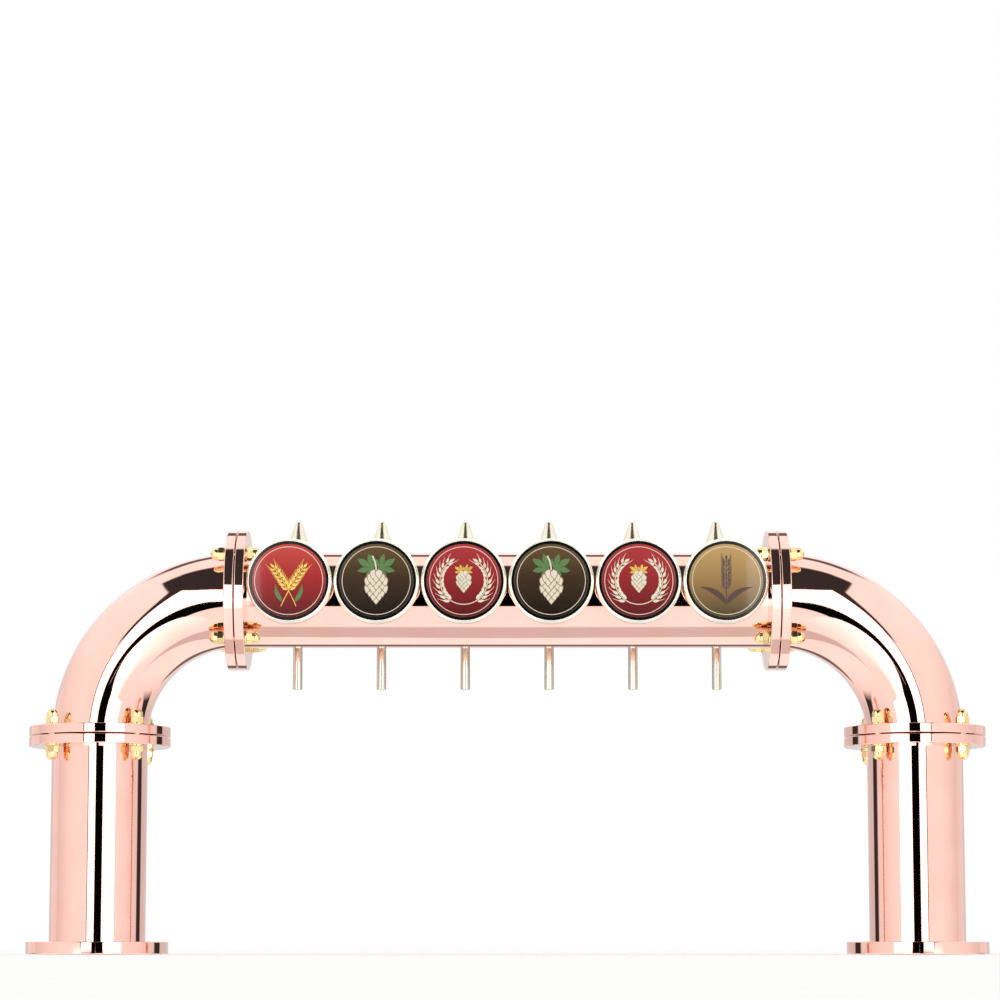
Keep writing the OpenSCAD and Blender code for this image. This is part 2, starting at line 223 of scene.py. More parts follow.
@dataclass(frozen=True)
class Moulded(Finish):
    """A moulded, extruded or screen-printed plastic or rubber with a fine surface grain."""

    colour: str
    worn: str
    roughness: float
    # Width and depth of the grain, which is drawn coarser than the real one so that it shows
    grain_mm: float
    bump_mm: float
    coat: float = 0.0
    gloss: float = 0.5

    def shader(self, tree: bpy.types.NodeTree, place: bpy.types.NodeSocket) -> bpy.types.Node:
        """Adds a plastic whose grain tints it and stands out from it.

        Args:
            tree: The material's nodes.
            place: The pieces' own coordinates.

        Returns:
            The shader.
        """
        scale = {"Scale": 1 / (self.grain_mm * MM), "Detail": 3.0}
        grain = add_node(tree, "ShaderNodeTexNoise", scale, {"Vector": place})
        tints = [(0.3, self.colour), (0.8, self.worn)]
        tint = add_node(tree, "ShaderNodeValToRGB", links={"Fac": grain}, stops=tints)
        depth = {"Strength": 1.0, "Distance": self.bump_mm * MM}
        bump = add_node(tree, "ShaderNodeBump", depth, {"Height": grain})
        surface = {"Roughness": self.roughness, "Coat Weight": self.coat, "Specular IOR Level": self.gloss}
        return add_node(tree, "ShaderNodeBsdfPrincipled", surface, {"Base Color": tint, "Normal": bump})


@dataclass(frozen=True)
class PrintedDisc(Finish):
    """A print under clear gloss resin, paler at its top edge and deeper towards the foot."""

    top: str
    middle: str
    foot: str
    centre_z: float
    radius: float
    # Width of an uneven spot in the ink, drawn coarser than a real print dot so that it shows
    grain_mm: float = 0.7
    uneven: float = 0.04
    roughness: float = 0.22
    gloss: float = 0.2
    resin_roughness: float = 0.03

    def shader(self, tree: bpy.types.NodeTree, place: bpy.types.NodeSocket) -> bpy.types.Node:
        """Adds a print whose ink is shaded by height and slightly uneven.

        Args:
            tree: The material's nodes.
            place: The pieces' own coordinates.

        Returns:
            The shader.
        """
        z = add_node(tree, "ShaderNodeSeparateXYZ", links={"Vector": place}).outputs["Z"]
        span = {"From Min": self.centre_z + self.radius, "From Max": self.centre_z - self.radius}
        height = add_node(tree, "ShaderNodeMapRange", span, {"Value": z})
        scale = {"Scale": 1 / (self.grain_mm * MM), "Detail": 2.0}
        ink = add_node(tree, "ShaderNodeTexNoise", scale, {"Vector": place})
        swing = {"To Min": -self.uneven, "To Max": self.uneven}
        uneven = add_node(tree, "ShaderNodeMapRange", swing, {"Value": ink})
        shade = add_node(tree, "ShaderNodeMath", {"operation": "ADD"}, {0: height, 1: uneven})
        shades = [(0.05, self.top), (0.45, self.middle), (0.95, self.foot)]
        tint = add_node(tree, "ShaderNodeValToRGB", links={"Fac": shade}, stops=shades)
        print_gloss = {"Roughness": self.roughness, "Specular IOR Level": self.gloss}
        resin = {"Coat Weight": 1.0, "Coat Roughness": self.resin_roughness}
        return add_node(tree, "ShaderNodeBsdfPrincipled", print_gloss | resin, {"Base Color": tint})


@dataclass(frozen=True)
class LitAcrylic(Finish):
    """Back-lit white acrylic: an even glow."""

    level: float

    def shader(self, tree: bpy.types.NodeTree, place: bpy.types.NodeSocket) -> bpy.types.Node:
        """Adds a white glow, which is the same at every place."""
        glow = {"Emission Color": srgb("FFFFFF"), "Emission Strength": self.level}
        return add_node(tree, "ShaderNodeBsdfPrincipled", {"Base Color": srgb("000000"), **glow})


# Rose copper electroplate, mirror polished: a pink mirror with hardly any haze
COPPER = Metal("rose_copper_plate_mirror", "F8C8BB", "F5C1B3", 0.025, 0.02)
# Solid turned brass, buffed: yellow and a little softer than the plate
BRASS = Metal("buffed_brass", "F5DCA6", "EBCB8C", 0.12, 0.08, cloud_mm=9.0, scratch_mm=0.5)
# Bright nickel plate over brass: a warm grey mirror
NICKEL = Metal("bright_nickel_plate", "D8D8C9", "CECEBC", 0.08, 0.06, cloud_mm=25.0, scratch_mm=0.6)
# The same plate, buffed on handles: a soft cream mirror
BUFFED_NICKEL = Metal("buffed_nickel_plate", "E8E1CE", "DBD3BE", 0.2, 0.08, cloud_mm=25.0, scratch_mm=0.6)
# The same plate, satin-brushed on bezels: a soft cream sheen
SATIN_NICKEL = Metal("satin_nickel_plate", "FAF5EA", "F3ECDC", 0.3, 0.1, cloud_mm=25.0, scratch_mm=0.6)
# Barrel-plated nickel on the fixings inside: duller
DULL_NICKEL = Metal("barrel_nickel_plate", "BDB8AB", "ADA799", 0.22, 0.15, cloud_mm=12.0, scratch_mm=0.5)
# Turned stainless steel on levers and valve stems: fine lathe haze
STEEL = Metal("turned_stainless_steel", "C4C2BC", "B5B3AD", 0.16, 0.12, cloud_mm=10.0, scratch_mm=0.4)
# Cut sheet rubber of the gaskets: matte and nearly black
GASKET = Moulded("cut_sheet_rubber", "1B1A19", "2A2826", 0.75, 1.5, 0.05)
# Gloss black moulding that frames each print: deep black with a sharp highlight
BLACK_RING = Moulded("gloss_black_abs", "0B0B0B", "121212", 0.12, 2.0, 0.004, coat=0.6)
# Extruded beer hose: milky and smooth
HOSE = Moulded("milky_polyethylene_hose", "DCE3E4", "CBD3D5", 0.3, 3.0, 0.01)
# Glass-filled acetal of the push fittings: matte grey
FITTING = Moulded("grey_acetal", "565B5E", "63686B", 0.5, 1.0, 0.02)
# Screen inks that stand a hair proud of the disc: flat colour with a slight gloss
CREAM_INK = Moulded("cream_screen_ink", "F1E7CF", "E6D9BB", 0.35, 1.2, 0.006, coat=0.5)
GREEN_INK = Moulded("green_screen_ink", "4F7A3A", "5E8946", 0.35, 1.2, 0.006, coat=0.5)
UMBER_INK = Moulded("umber_screen_ink", "4A2A18", "5A3622", 0.35, 1.2, 0.006, coat=0.5)
TAN_INK = Moulded("tan_screen_ink", "8A6438", "7C5830", 0.35, 1.2, 0.006, coat=0.5)
# Gold foil ink: a soft metallic sparkle
GOLD_INK = Metal("gold_foil_ink", "E3BE68", "D1A94F", 0.28, 0.15, cloud_mm=5.0, scratch_mm=0.4)
# Matte white vinyl sheet of the studio's floor: pale, with a faint unevenness
VINYL = Moulded("matte_white_vinyl", "FEFEFD", "FCFCFB", 0.9, 30.0, 0.02, gloss=0.0)


# Mesh building with exact normals

# Points with their normals
Rim = list[tuple[Vector, Vector]]
# Radius and height of an outline's corner, and the radius of its rounding where it has one
Corner = tuple[float, ...]


@dataclass(frozen=True)
class Stretch:
    """One step of a turned outline, with the outline's normal at each end."""

    start: Vector
    end: Vector
    start_normal: Vector
    end_normal: Vector


def toward(angle: float) -> Vector:
    """Returns the flat unit step at an angle."""
    return Vector((math.cos(angle), math.sin(angle)))


def right_of(step: Vector) -> Vector:
    """Returns the unit normal on the right of a step in the outline's plane."""
    return Vector((step.y, -step.x)).normalized()


def even_angles(count: int) -> list[float]:
    """Returns the angles of a full turn in equal steps."""
    return [math.tau * k / count for k in range(count)]


def circle(r: float, angles: Sequence[float], centre: Vector = Vector((0, 0))) -> list[Vector]:
    """Returns the points of a flat circle at the given angles."""
    return [centre + toward(a) * r for a in angles]


def outline(corners: Sequence[Corner], closed: bool = False, arc_steps: int = 6) -> list[Stretch]:
    """Rounds the corners of an outline that runs with its solid on the left.

    Args:
        corners: The corners in order.
        closed: Whether the last corner joins the first.
        arc_steps: Steps in each rounding.

    Returns:
        The stretches of the rounded outline.
    """
    points = [Vector(corner[:2]) for corner in corners]
    arcs: list[Rim] = []
    for i, (_, _, *rounding) in enumerate(corners):
        if not rounding:
            arcs.append([(points[i], Vector((0, 0)))])
            continue
        before = (points[i] - points[i - 1]).normalized()
        after = (points[(i + 1) % len(points)] - points[i]).normalized()
        first, last = right_of(before), right_of(after)
        bulge = rounding[0] if before.cross(after) > 0 else -rounding[0]
        setback = rounding[0] * math.tan(before.angle(after) / 2)
        centre = points[i] - before * setback - first * bulge
        normals = [first.slerp(last, k / arc_steps) for k in range(arc_steps + 1)]
        arcs.append([(centre + n * bulge, n) for n in normals])
    stretches = []
    for i, arc in enumerate(arcs):
        stretches += [Stretch(start, end, n, m) for (start, n), (end, m) in zip(arc, arc[1:])]
        start, end = arc[-1][0], arcs[(i + 1) % len(arcs)][0][0]
        if (closed or i < len(arcs) - 1) and (end - start).length > 10**-SAME_PLACE:
            across = right_of(end - start)
            stretches.append(Stretch(start, end, across, across))
    return stretches


def ball(centre_z: float, r: float, low: float, high: float, steps: int) -> list[Stretch]:
    """Returns the outline of a ball on the axis.

    Args:
        centre_z: Height of the ball's centre.
        r: Its radius.
        low: Angle above the horizon at which the outline starts.
        high: Angle at which it ends.
        steps: Steps along it.

    Returns:
        The outline's stretches.
    """
    angles = [low + (high - low) * k / steps for k in range(steps + 1)]
    ways = [Vector((max(math.cos(a), 0), math.sin(a))) for a in angles]
    spots = [Vector((0, centre_z)) + way * r for way in ways]
    return [Stretch(*pair) for pair in zip(spots, spots[1:], ways, ways[1:])]


@dataclass
class Shell:
    """Collects points, faces and exact corner normals for one piece."""

    points: list[Vector] = field(default_factory=list)
    faces: list[list[int]] = field(default_factory=list)
    normals: list[Vector] = field(default_factory=list)
    index: dict[tuple[float, ...], int] = field(default_factory=dict)

    def add_face(self, corners: Sequence[tuple[Vector, Vector]], place: Matrix) -> None:
        """Adds a face on points that it shares with its neighbours, less corners that fall together.

        Args:
            corners: Points and normals in the piece's own axes, counter-clockwise from outside.
            place: Where the piece stands.
        """
        turn = place.to_3x3()
        kept: dict[int, Vector] = {}
        for point, normal in corners:
            at = place @ point
            number = self.index.setdefault(tuple(round(v, SAME_PLACE) for v in at), len(self.points))
            if number == len(self.points):
                self.points.append(at)
            kept.setdefault(number, (turn @ normal).normalized())
        if len(kept) > 2:
            self.faces.append(list(kept))
            self.normals.extend(kept.values())

    def band(self, first: Rim, second: Rim, place: Matrix = UPRIGHT) -> None:
        """Joins two closed rims of as many points, where the second lies left of the first's run."""
        for corners in zip(first, first[1:] + first[:1], second[1:] + second[:1], second):
            self.add_face(corners, place)

    def turn(self, profile: Sequence[Stretch], angles: Sequence[float], place: Matrix = UPRIGHT) -> Self:
        """Revolves an outline about the place's Z axis.

        Args:
            profile: The outline, in radius and height.
            angles: The steps around.
            place: Where the axis stands.

        Returns:
            The shell itself.
        """
        ways, up = [toward(a).to_3d() for a in angles], Vector((0, 0, 1))
        for step in profile:
            ends = ((step.start, step.start_normal), (step.end, step.end_normal))
            rims = [[(w * at.x + up * at.y, w * n.x + up * n.y) for w in ways] for at, n in ends]
            self.band(*rims, place)
        return self

    def plate(
        self, loops: Sequence[Sequence[Vector]], z: float, facing: int, place: Matrix = UPRIGHT
    ) -> Self:
        """Adds a flat face with holes.

        Args:
            loops: The outer loop and the holes, as flat points.
            z: Height of the face.
            facing: 1 to face up and -1 to face down.
            place: Where the piece stands.

        Returns:
            The shell itself.
        """
        corners = [Vector((*p, z)) for loop in loops for p in loop]
        for triangle in tessellate_polygon([[p.to_3d() for p in loop] for loop in loops]):
            a, b, c = (corners[i] for i in triangle)
            run = [a, b, c] if (b - a).cross(c - a).z * facing > 0 else [c, b, a]
            self.add_face([(p, Vector((0, 0, facing))) for p in run], place)
        return self

    def raised(self, loop: Sequence[Vector], low: float, high: float, place: Matrix) -> None:
        """Adds a flat shape with straight sides.

        Args:
            loop: The shape, counter-clockwise.
            low: Height of its foot.
            high: Height of its face.
            place: Where the piece stands.
        """
        for start, end in zip(loop, [*loop[1:], loop[0]]):
            across = right_of(end - start).to_3d()
            wall = ((start, low), (end, low), (end, high), (start, high))
            self.add_face([(Vector((*p, z)), across) for p, z in wall], place)
        self.plate([loop], low, -1, place).plate([loop], high, 1, place)

    def hex_nut(
        self, flats: float, height: float, bore_r: float, top_r: float, place: Matrix = UPRIGHT
    ) -> list[float]:
        """Adds a hexagon with softened corners and a chamfer at both ends.

        Args:
            flats: Width across the flats.
            height: Height of the hexagon.
            bore_r: Radius left open at the foot.
            top_r: Radius left open at the top.
            place: Where the nut's axis stands, with its foot at height 0.

        Returns:
            The steps around, for turned shapes that meet the nut.
        """
        flat_r, soft, slope = flats / 2, flats * HEX_SOFT, math.radians(30)
        cut_r, flat_steps = flat_r * HEX_CUT, 5
        reach = (flat_r - soft) * math.tan(slope) * 2
        side: Rim = []
        for k in range(6):
            centre = toward(math.radians(60 * k)) * (flat_r - soft) / math.cos(slope)
            normals = [toward(math.radians(60 * k + turn)) for turn in (-30, -10, 10, 30)]
            side += [(centre + n * soft, n) for n in normals]
            start, normal = side[-1]
            step = Vector((-normal.y, normal.x)) * reach / flat_steps
            side += [(start + step * j, normal) for j in range(1, flat_steps)]
        angles = [math.atan2(p.y, p.x) for p, _ in side]

        def ends(z: float, up: int) -> tuple[Rim, Rim, Rim]:
            """Works out one end of the nut.

            Args:
                z: Height of the end.
                up: 1 where the end faces up and -1 where it faces down.

            Returns:
                The flats' end, and the chamfer's outer and inner rims.
            """
            cone = [Vector((*toward(a) * math.sin(slope), up * math.cos(slope))) for a in angles]
            outer = [Vector((*p, z - up * (p.length - cut_r) * math.tan(slope))) for p, _ in side]
            inner = [Vector((*p, z)) for p in circle(cut_r, angles)]
            flat = [(p, n.to_3d()) for p, (_, n) in zip(outer, side)]
            return flat, list(zip(outer, cone)), list(zip(inner, cone))

        low, low_outer, low_inner = ends(0, -1)
        high, high_outer, high_inner = ends(height, 1)
        for first, second in ((low_inner, low_outer), (low, high), (high_outer, high_inner)):
            self.band(first, second, place)
        for face in ([(bore_r, 0), (cut_r, 0)], [(cut_r, height), (top_r, height)]):
            self.turn(outline(face), angles, place)
        return angles

    def build(self, name: str, finish: Finish) -> bpy.types.Object:
        """Makes the piece's object, at the origin.

        Args:
            name: The piece's name.
            finish: What it is made of.

        Returns:
            The new object, linked to the scene.
        """
        mesh = bpy.data.meshes.new(name)
        mesh.from_pydata(self.points, [], self.faces)
        mesh.polygons.foreach_set("use_smooth", [True] * len(mesh.polygons))
        mesh.normals_split_custom_set([tuple(n) for n in self.normals])
        mesh.materials.append(finish.material())
        return add_object(name, mesh)


def fit(piece: bpy.types.Object, body: str, slot: str, *nodes: str) -> None:
    """Sets a finished piece on its body and reports it.

    Args:
        piece: The piece, at the origin.
        body: The body that it moves with.
        slot: The material slot that its finish belongs to; not used.
        nodes: The CAD nodes that it stands for.
    """
    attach(piece, body)
    if nodes:
        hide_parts(*nodes)
    LOG.info("%s on %s: %d faces, for %d nodes", piece.name, body, len(piece.data.polygons), len(nodes))


# Copies of one pattern


@dataclass(frozen=True)
class Spot:
    """Where one copy of a pattern stands, and how large it is."""

    place: Matrix
    size: float = 1.0


class PlacedCopies:
    """A node tree that sets copies of a pattern on marked points."""

    MARKS = {"turn": "QUATERNION", "size": "FLOAT"}
    INPUTS = {"Points": "Geometry", "Pattern": "Object", "Finish": "Material", "Size": "Float"}

    def __init__(self) -> None:
        """Builds the tree with its named inputs."""
        self.tree = tree = bpy.data.node_groups.new("placed_copies", "GeometryNodeTree")
        self.inputs: dict[str, str] = {}
        for name, kind in self.INPUTS.items():
            socket = tree.interface.new_socket(name, in_out="INPUT", socket_type=f"NodeSocket{kind}")
            self.inputs[name] = socket.identifier
        tree.interface.new_socket("Copies", in_out="OUTPUT", socket_type="NodeSocketGeometry")
        given = add_node(tree, "NodeGroupInput").outputs
        model = {"Object": given["Pattern"]}
        pattern = add_node(tree, "GeometryNodeObjectInfo", {"As Instance": True}, model)
        marks = {
            name: add_node(tree, "GeometryNodeInputNamedAttribute", {"data_type": kind, "Name": name})
            for name, kind in self.MARKS.items()
        }
        sizes = {0: marks["size"], 1: given["Size"]}
        scale = add_node(tree, "ShaderNodeMath", {"operation": "MULTIPLY"}, sizes)
        stand = {"Points": given["Points"], "Instance": pattern.outputs["Geometry"]}
        form = {"Rotation": marks["turn"], "Scale": scale}
        copies = add_node(tree, "GeometryNodeInstanceOnPoints", links=stand | form)
        real = add_node(tree, "GeometryNodeRealizeInstances", links={"Geometry": copies})
        finish = {"Geometry": real, "Material": given["Finish"]}
        dressed = add_node(tree, "GeometryNodeSetMaterial", links=finish)
        add_node(tree, "NodeGroupOutput", links={"Copies": dressed})

    def make(
        self, name: str, pattern: Shell, finish: Finish, spots: Sequence[Spot], size: float = 1.0
    ) -> bpy.types.Object:
        """Makes one plain mesh of all the copies.

        Args:
            name: The piece's name.
            pattern: The shape that is copied, about its own origin.
            finish: What the copies are made of.
            spots: Where the copies stand.
            size: Scale of all the copies.

        Returns:
            The new object, linked to the scene.
        """
        model = pattern.build(f"{name}_pattern", finish)
        mesh = bpy.data.meshes.new(f"{name}_points")
        mesh.from_pydata([spot.place.translation for spot in spots], [], [])
        for mark, kind in self.MARKS.items():
            mesh.attributes.new(mark, kind, "POINT")
        for k, spot in enumerate(spots):
            mesh.attributes["turn"].data[k].value = spot.place.to_quaternion()
            mesh.attributes["size"].data[k].value = spot.size
        piece = add_object(name, mesh)
        nodes = piece.modifiers.new("placed_copies", "NODES")
        nodes.node_group = self.tree
        for key, value in {"Pattern": model, "Finish": finish.material(), "Size": size}.items():
            nodes[self.inputs[key]] = value
        graph = bpy.context.evaluated_depsgraph_get()
        shown = piece.evaluated_get(graph)
        made = bpy.data.meshes.new_from_object(shown, preserve_all_data_layers=True, depsgraph=graph)
        piece.modifiers.clear()
        piece.data = made
        made.name = name
        for spare in set(self.MARKS) & set(made.attributes.keys()):
            made.attributes.remove(made.attributes[spare])
        bpy.data.objects.remove(model)
        return piece


# Sub-assemblies


@dataclass(frozen=True)
class Layout:
    """Where the tower's axes, joints, medallions and taps lie."""

    column_x: float
    bridge_z: float
    tube_r: float
    foot_z: float
    head_x: float
    tap_pitch: float
    tap_y: float
    medallion_z: float
    stud_circle_r: float = 62.9 * MM

    @classmethod
    def from_frame(cls) -> Self:
        """Measures the layout on the CAD nodes.

        Returns:
            The layout.
        """

        def centre(*nodes: str) -> Vector:
            """Returns the middle of the centres of some nodes' boxes."""
            corners = [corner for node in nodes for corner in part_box(node)]
            return sum(corners, Vector()) / len(corners)

        low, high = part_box("bridge_tube")
        first, last = (centre(f"tap_body_{number}").x for number in (TAPS[0], TAPS[-1]))
        return cls(
            column_x=centre("column_right").x,
            bridge_z=centre("bridge_tube").z,
            tube_r=(high.z - low.z) / 2,
            foot_z=centre("column_flange_right", "elbow_foot_flange_right").z,
            head_x=centre("bridge_flange_right", "elbow_head_flange_right").x,
            tap_pitch=(last - first) / (len(TAPS) - 1),
            tap_y=centre("tap_spouts").y,
            medallion_z=centre("medallion_bezels").z,
        )

    def foot_joint(self, sign: int) -> Matrix:
        """Returns a column joint's place, with Z up into the elbow."""
        return Matrix.Translation((sign * self.column_x, 0, self.foot_z))

    def head_joint(self, sign: int) -> Matrix:
        """Returns a bridge joint's place, with Z out into the elbow."""
        at = Matrix.Translation((sign * self.head_x, 0, self.bridge_z))
        return at @ Matrix.Rotation(sign * QUARTER, 4, "Y")

    def studs(self) -> list[Vector]:
        """Returns the studs' flat places on a joint."""
        return circle(self.stud_circle_r, [math.radians(45 + 90 * k) for k in range(4)])

    def tap_x(self, number: int) -> float:
        """Returns a tap's place along the bridge, counted from 1 on the left."""
        return (number - (len(TAPS) + 1) / 2) * self.tap_pitch

    def tap(self, number: int) -> Matrix:
        """Returns a tap's place: on its barrel's axis, level with the bridge's axis."""
        return Matrix.Translation((self.tap_x(number), self.tap_y, self.bridge_z))

    def medallion(self, number: int) -> Matrix:
        """Returns a medallion's place, with Z towards the customers and Y up."""
        at = Matrix.Translation((self.tap_x(number), 0, self.medallion_z))
        return at @ Matrix.Rotation(QUARTER, 4, "X")


@dataclass
class PipeFrame:
    """The copper tubes, elbows and flanges."""

    layout: Layout
    bore_r: float = 48.8 * MM
    flange_r: float = 75 * MM
    flange: float = 10 * MM
    gap: float = 1 * MM
    lap: float = 0.6 * MM
    edge: float = 1 * MM
    stud_hole_r: float = 4.5 * MM
    bend_r: float = 146.5 * MM
    base: float = 13 * MM
    socket: float = 6.5 * MM
    passage_r: float = 40 * MM
    base_hole_r: float = 3.4 * MM
    base_hole: float = 10 * MM
    around: int = 192
    hole_around: int = 24
    along: int = 48

    def tube(self, place: Matrix, low: float, high: float) -> Shell:
        """Builds a straight tube.

        Args:
            place: Where the tube's axis stands.
            low: Height of one end on the axis.
            high: Height of the other end.

        Returns:
            The tube.
        """
        outer, inner = self.layout.tube_r, self.bore_r
        section = [(outer, low), (outer, high), (inner, high), (inner, low)]
        return Shell().turn(outline(section, closed=True), even_angles(self.around), place)

    def flange_with_holes(
        self,
        place: Matrix,
        sides: Sequence[Sequence[Corner]],
        hole: Sequence[Corner],
        faces: dict[float, int],
    ) -> Shell:
        """Builds a flange from its turned sides, its stud holes and its flat faces between them.

        Args:
            place: Where the flange stands.
            sides: Outlines of the sides, from the faces' outer radius to their inner radius.
            hole: Outline of a hole.
            faces: Which way the face at each height faces, 1 for up and -1 for down.

        Returns:
            The flange.
        """
        shell, angles, hole_angles = Shell(), even_angles(self.around), even_angles(self.hole_around)
        for side in sides:
            shell.turn(outline(side), angles, place)
        studs = self.layout.studs()
        loops = [circle(r, angles) for r in (sides[0][0][0], sides[-1][-1][0])]
        loops += [circle(hole[-1][0], hole_angles, stud) for stud in studs]
        for z, facing in faces.items():
            shell.plate(loops, z, facing, place)
        for stud in studs:
            shell.turn(outline(hole), hole_angles, place @ Matrix.Translation(stud.to_3d()))
        return shell

    def joint_flange(self, joint: Matrix, into_elbow: bool) -> Shell:
        """Builds one flange of a joint.

        Args:
            joint: The joint's place.
            into_elbow: Whether the flange is the elbow's, or else the straight tube's.

        Returns:
            The flange with its stud holes.
        """
        low = self.gap / 2 if into_elbow else -self.gap / 2 - self.flange
        high = low + self.flange
        rim_r, edge, inner_r = self.flange_r, self.edge, self.layout.tube_r - self.lap
        flat_r = rim_r - 2 * edge
        rim = [(flat_r, low), (rim_r, low, edge), (rim_r, high, edge), (flat_r, high)]
        bore, hole = ([(r, high), (r, low)] for r in (inner_r, self.stud_hole_r))
        return self.flange_with_holes(joint, [rim, bore], hole, {low: -1, high: 1})

    def base_flange(self, place: Matrix) -> Shell:
        """Builds a base flange with its tube socket, line passage and blind stud holes.

        Args:
            place: Where the flange stands.

        Returns:
            The flange.
        """
        tube_r, passage_r, floor = self.layout.tube_r, self.passage_r, self.base - self.socket
        side = [
            (self.flange_r - 2 * self.edge, 0),
            *((self.flange_r, z, self.edge) for z in (0, self.base)),
            *((tube_r, z) for z in (self.base, floor)),
            *((passage_r, z) for z in (floor, 0)),
        ]
        hole = [(0, self.base_hole), (self.base_hole_r, self.base_hole), (self.base_hole_r, 0)]
        return self.flange_with_holes(place, [side], hole, {0: -1})

    def elbow(self, sign: int) -> Shell:
        """Builds one elbow: a quarter bend of tube from its column's joint to its bridge's joint.

        Args:
            sign: -1 for the left elbow and 1 for the right one.

        Returns:
            The elbow.
        """
        layout, half_gap, steps = self.layout, self.gap / 2, self.along
        centre = Matrix.Translation((sign * (layout.head_x + half_gap), 0, layout.foot_z + half_gap))
        place = centre @ Matrix.Rotation(0 if sign > 0 else math.pi, 4, "Z")

        def rim(step: int, r: float, facing: int | Vector) -> Rim:
            """Works out one rim of the outside or the bore.

            Args:
                step: The step along the bend.
                r: The rim's radius.
                facing: 1 for normals that face out, -1 for in, or one normal for all.

            Returns:
                The rim.
            """
            along = QUARTER * step / steps
            out = Vector((math.cos(along), 0, math.sin(along)))
            ways = [out * math.cos(a) + Vector((0, math.sin(a), 0)) for a in even_angles(self.around)]
            return [
                (out * self.bend_r + way * r, facing if isinstance(facing, Vector) else way * facing)
                for way in ways
            ]

        shell, outer, inner = Shell(), layout.tube_r, self.bore_r
        for step in range(steps):
            shell.band(rim(step, outer, 1), rim(step + 1, outer, 1), place)
            shell.band(rim(step + 1, inner, -1), rim(step, inner, -1), place)
        down, back = Vector((0, 0, -1)), Vector((-1, 0, 0))
        shell.band(rim(0, inner, down), rim(0, outer, down), place)
        shell.band(rim(steps, outer, back), rim(steps, inner, back), place)
        return shell

    def build(self) -> None:
        """Builds and fits every copper piece."""
        layout, half_gap = self.layout, self.gap / 2
        shells: dict[str, Shell] = {}
        for side, sign in SIDES.items():
            upright = Matrix.Translation((sign * layout.column_x, 0, 0))
            foot, head = layout.foot_joint(sign), layout.head_joint(sign)
            shells[f"base_flange_{side}"] = self.base_flange(upright)
            shells[f"column_{side}"] = self.tube(upright, self.base - self.socket, layout.foot_z - half_gap)
            shells[f"column_flange_{side}"] = self.joint_flange(foot, False)
            shells[f"elbow_foot_flange_{side}"] = self.joint_flange(foot, True)
            shells[f"elbow_{side}"] = self.elbow(sign)
            shells[f"elbow_head_flange_{side}"] = self.joint_flange(head, True)
            shells[f"bridge_flange_{side}"] = self.joint_flange(head, False)
        level = Matrix.Translation((0, 0, layout.bridge_z)) @ Matrix.Rotation(QUARTER, 4, "Y")
        half = layout.head_x - half_gap
        shells["bridge_tube"] = self.tube(level, -half, half)
        for node, shell in shells.items():
            fit(shell.build(f"copper_{node}", COPPER), TOWER, "polished_copper", node)


@dataclass
class JointFasteners:
    """The brass dome nuts and washers of the four bolted joints."""

    layout: Layout
    copies: PlacedCopies
    face: float = 10.5 * MM
    stud_r: float = 4 * MM
    washer_r: float = 8 * MM
    washer: float = 1.6 * MM
    washer_edge: float = 0.3 * MM
    flats: float = 13 * MM
    hex_height: float = 6.5 * MM
    height: float = 15 * MM
    dome_r: float = 6.24 * MM
    thread: float = 10.8 * MM
    twist_deg: float = 37
    around: int = 48

    def seats(self, lift: float) -> list[Spot]:
        """Returns both ends of every stud, facing out and each turned a little further than the last.

        Args:
            lift: Height above the flange.

        Returns:
            The places.
        """
        layout, twist = self.layout, math.radians(self.twist_deg)
        joints = [at(sign) for at in (layout.foot_joint, layout.head_joint) for sign in SIDES.values()]
        ends = [
            joint @ Matrix.Translation(stud.to_3d()) @ Matrix.Rotation(flip, 4, "X")
            for joint in joints
            for stud in layout.studs()
            for flip in (0, math.pi)
        ]
        out = Matrix.Translation((0, 0, self.face + lift))
        return [Spot(end @ out @ Matrix.Rotation(twist * k, 4, "Z")) for k, end in enumerate(ends)]

    def dome_nut(self) -> Shell:
        """Builds a dome nut on z = 0 with its blind thread bore.

        Returns:
            The nut.
        """
        bore_r, shoulder = self.stud_r + PLAY, self.height - self.dome_r
        shell = Shell()
        angles = shell.hex_nut(self.flats, self.hex_height, bore_r, self.dome_r)
        wall = outline([(self.dome_r, self.hex_height), (self.dome_r, shoulder)])
        shell.turn([*wall, *ball(shoulder, self.dome_r, 0, QUARTER, steps=8)], angles)
        return shell.turn(outline([(0, self.thread), (bore_r, self.thread), (bore_r, 0)]), angles)

    def flat_washer(self) -> Shell:
        """Builds a washer on z = 0.

        Returns:
            The washer.
        """
        inner, outer, edge = self.stud_r + CLEARANCE, self.washer_r, self.washer_edge
        section = [(inner, 0), (outer, 0, edge), (outer, self.washer, edge), (inner, self.washer)]
        return Shell().turn(outline(section, closed=True, arc_steps=3), even_angles(self.around))

    def build(self) -> None:
        """Builds and fits the nuts and washers."""
        nuts = self.copies.make("brass_dome_nuts", self.dome_nut(), BRASS, self.seats(self.washer))
        fit(nuts, TOWER, "polished_brass", "dome_nuts")
        washers = self.copies.make("brass_washers", self.flat_washer(), BRASS, self.seats(0))
        fit(washers, TOWER, "polished_brass", "flange_washers")


class Motif(Enum):
    """What a medallion's print shows."""

    CROSSED_EARS = "crossed_ears"
    HOP_CONE = "hop_cone"
    WREATH = "wreath"
    TALL_EAR = "tall_ear"


@dataclass(frozen=True)
class PrintDesign:
    """One print: its medallions, its shades from top to foot, its motif and its inks."""

    colour: str
    numbers: tuple[int, ...]
    shades: tuple[str, str, str]
    motif: Motif
    grain: Finish
    leaf: Finish


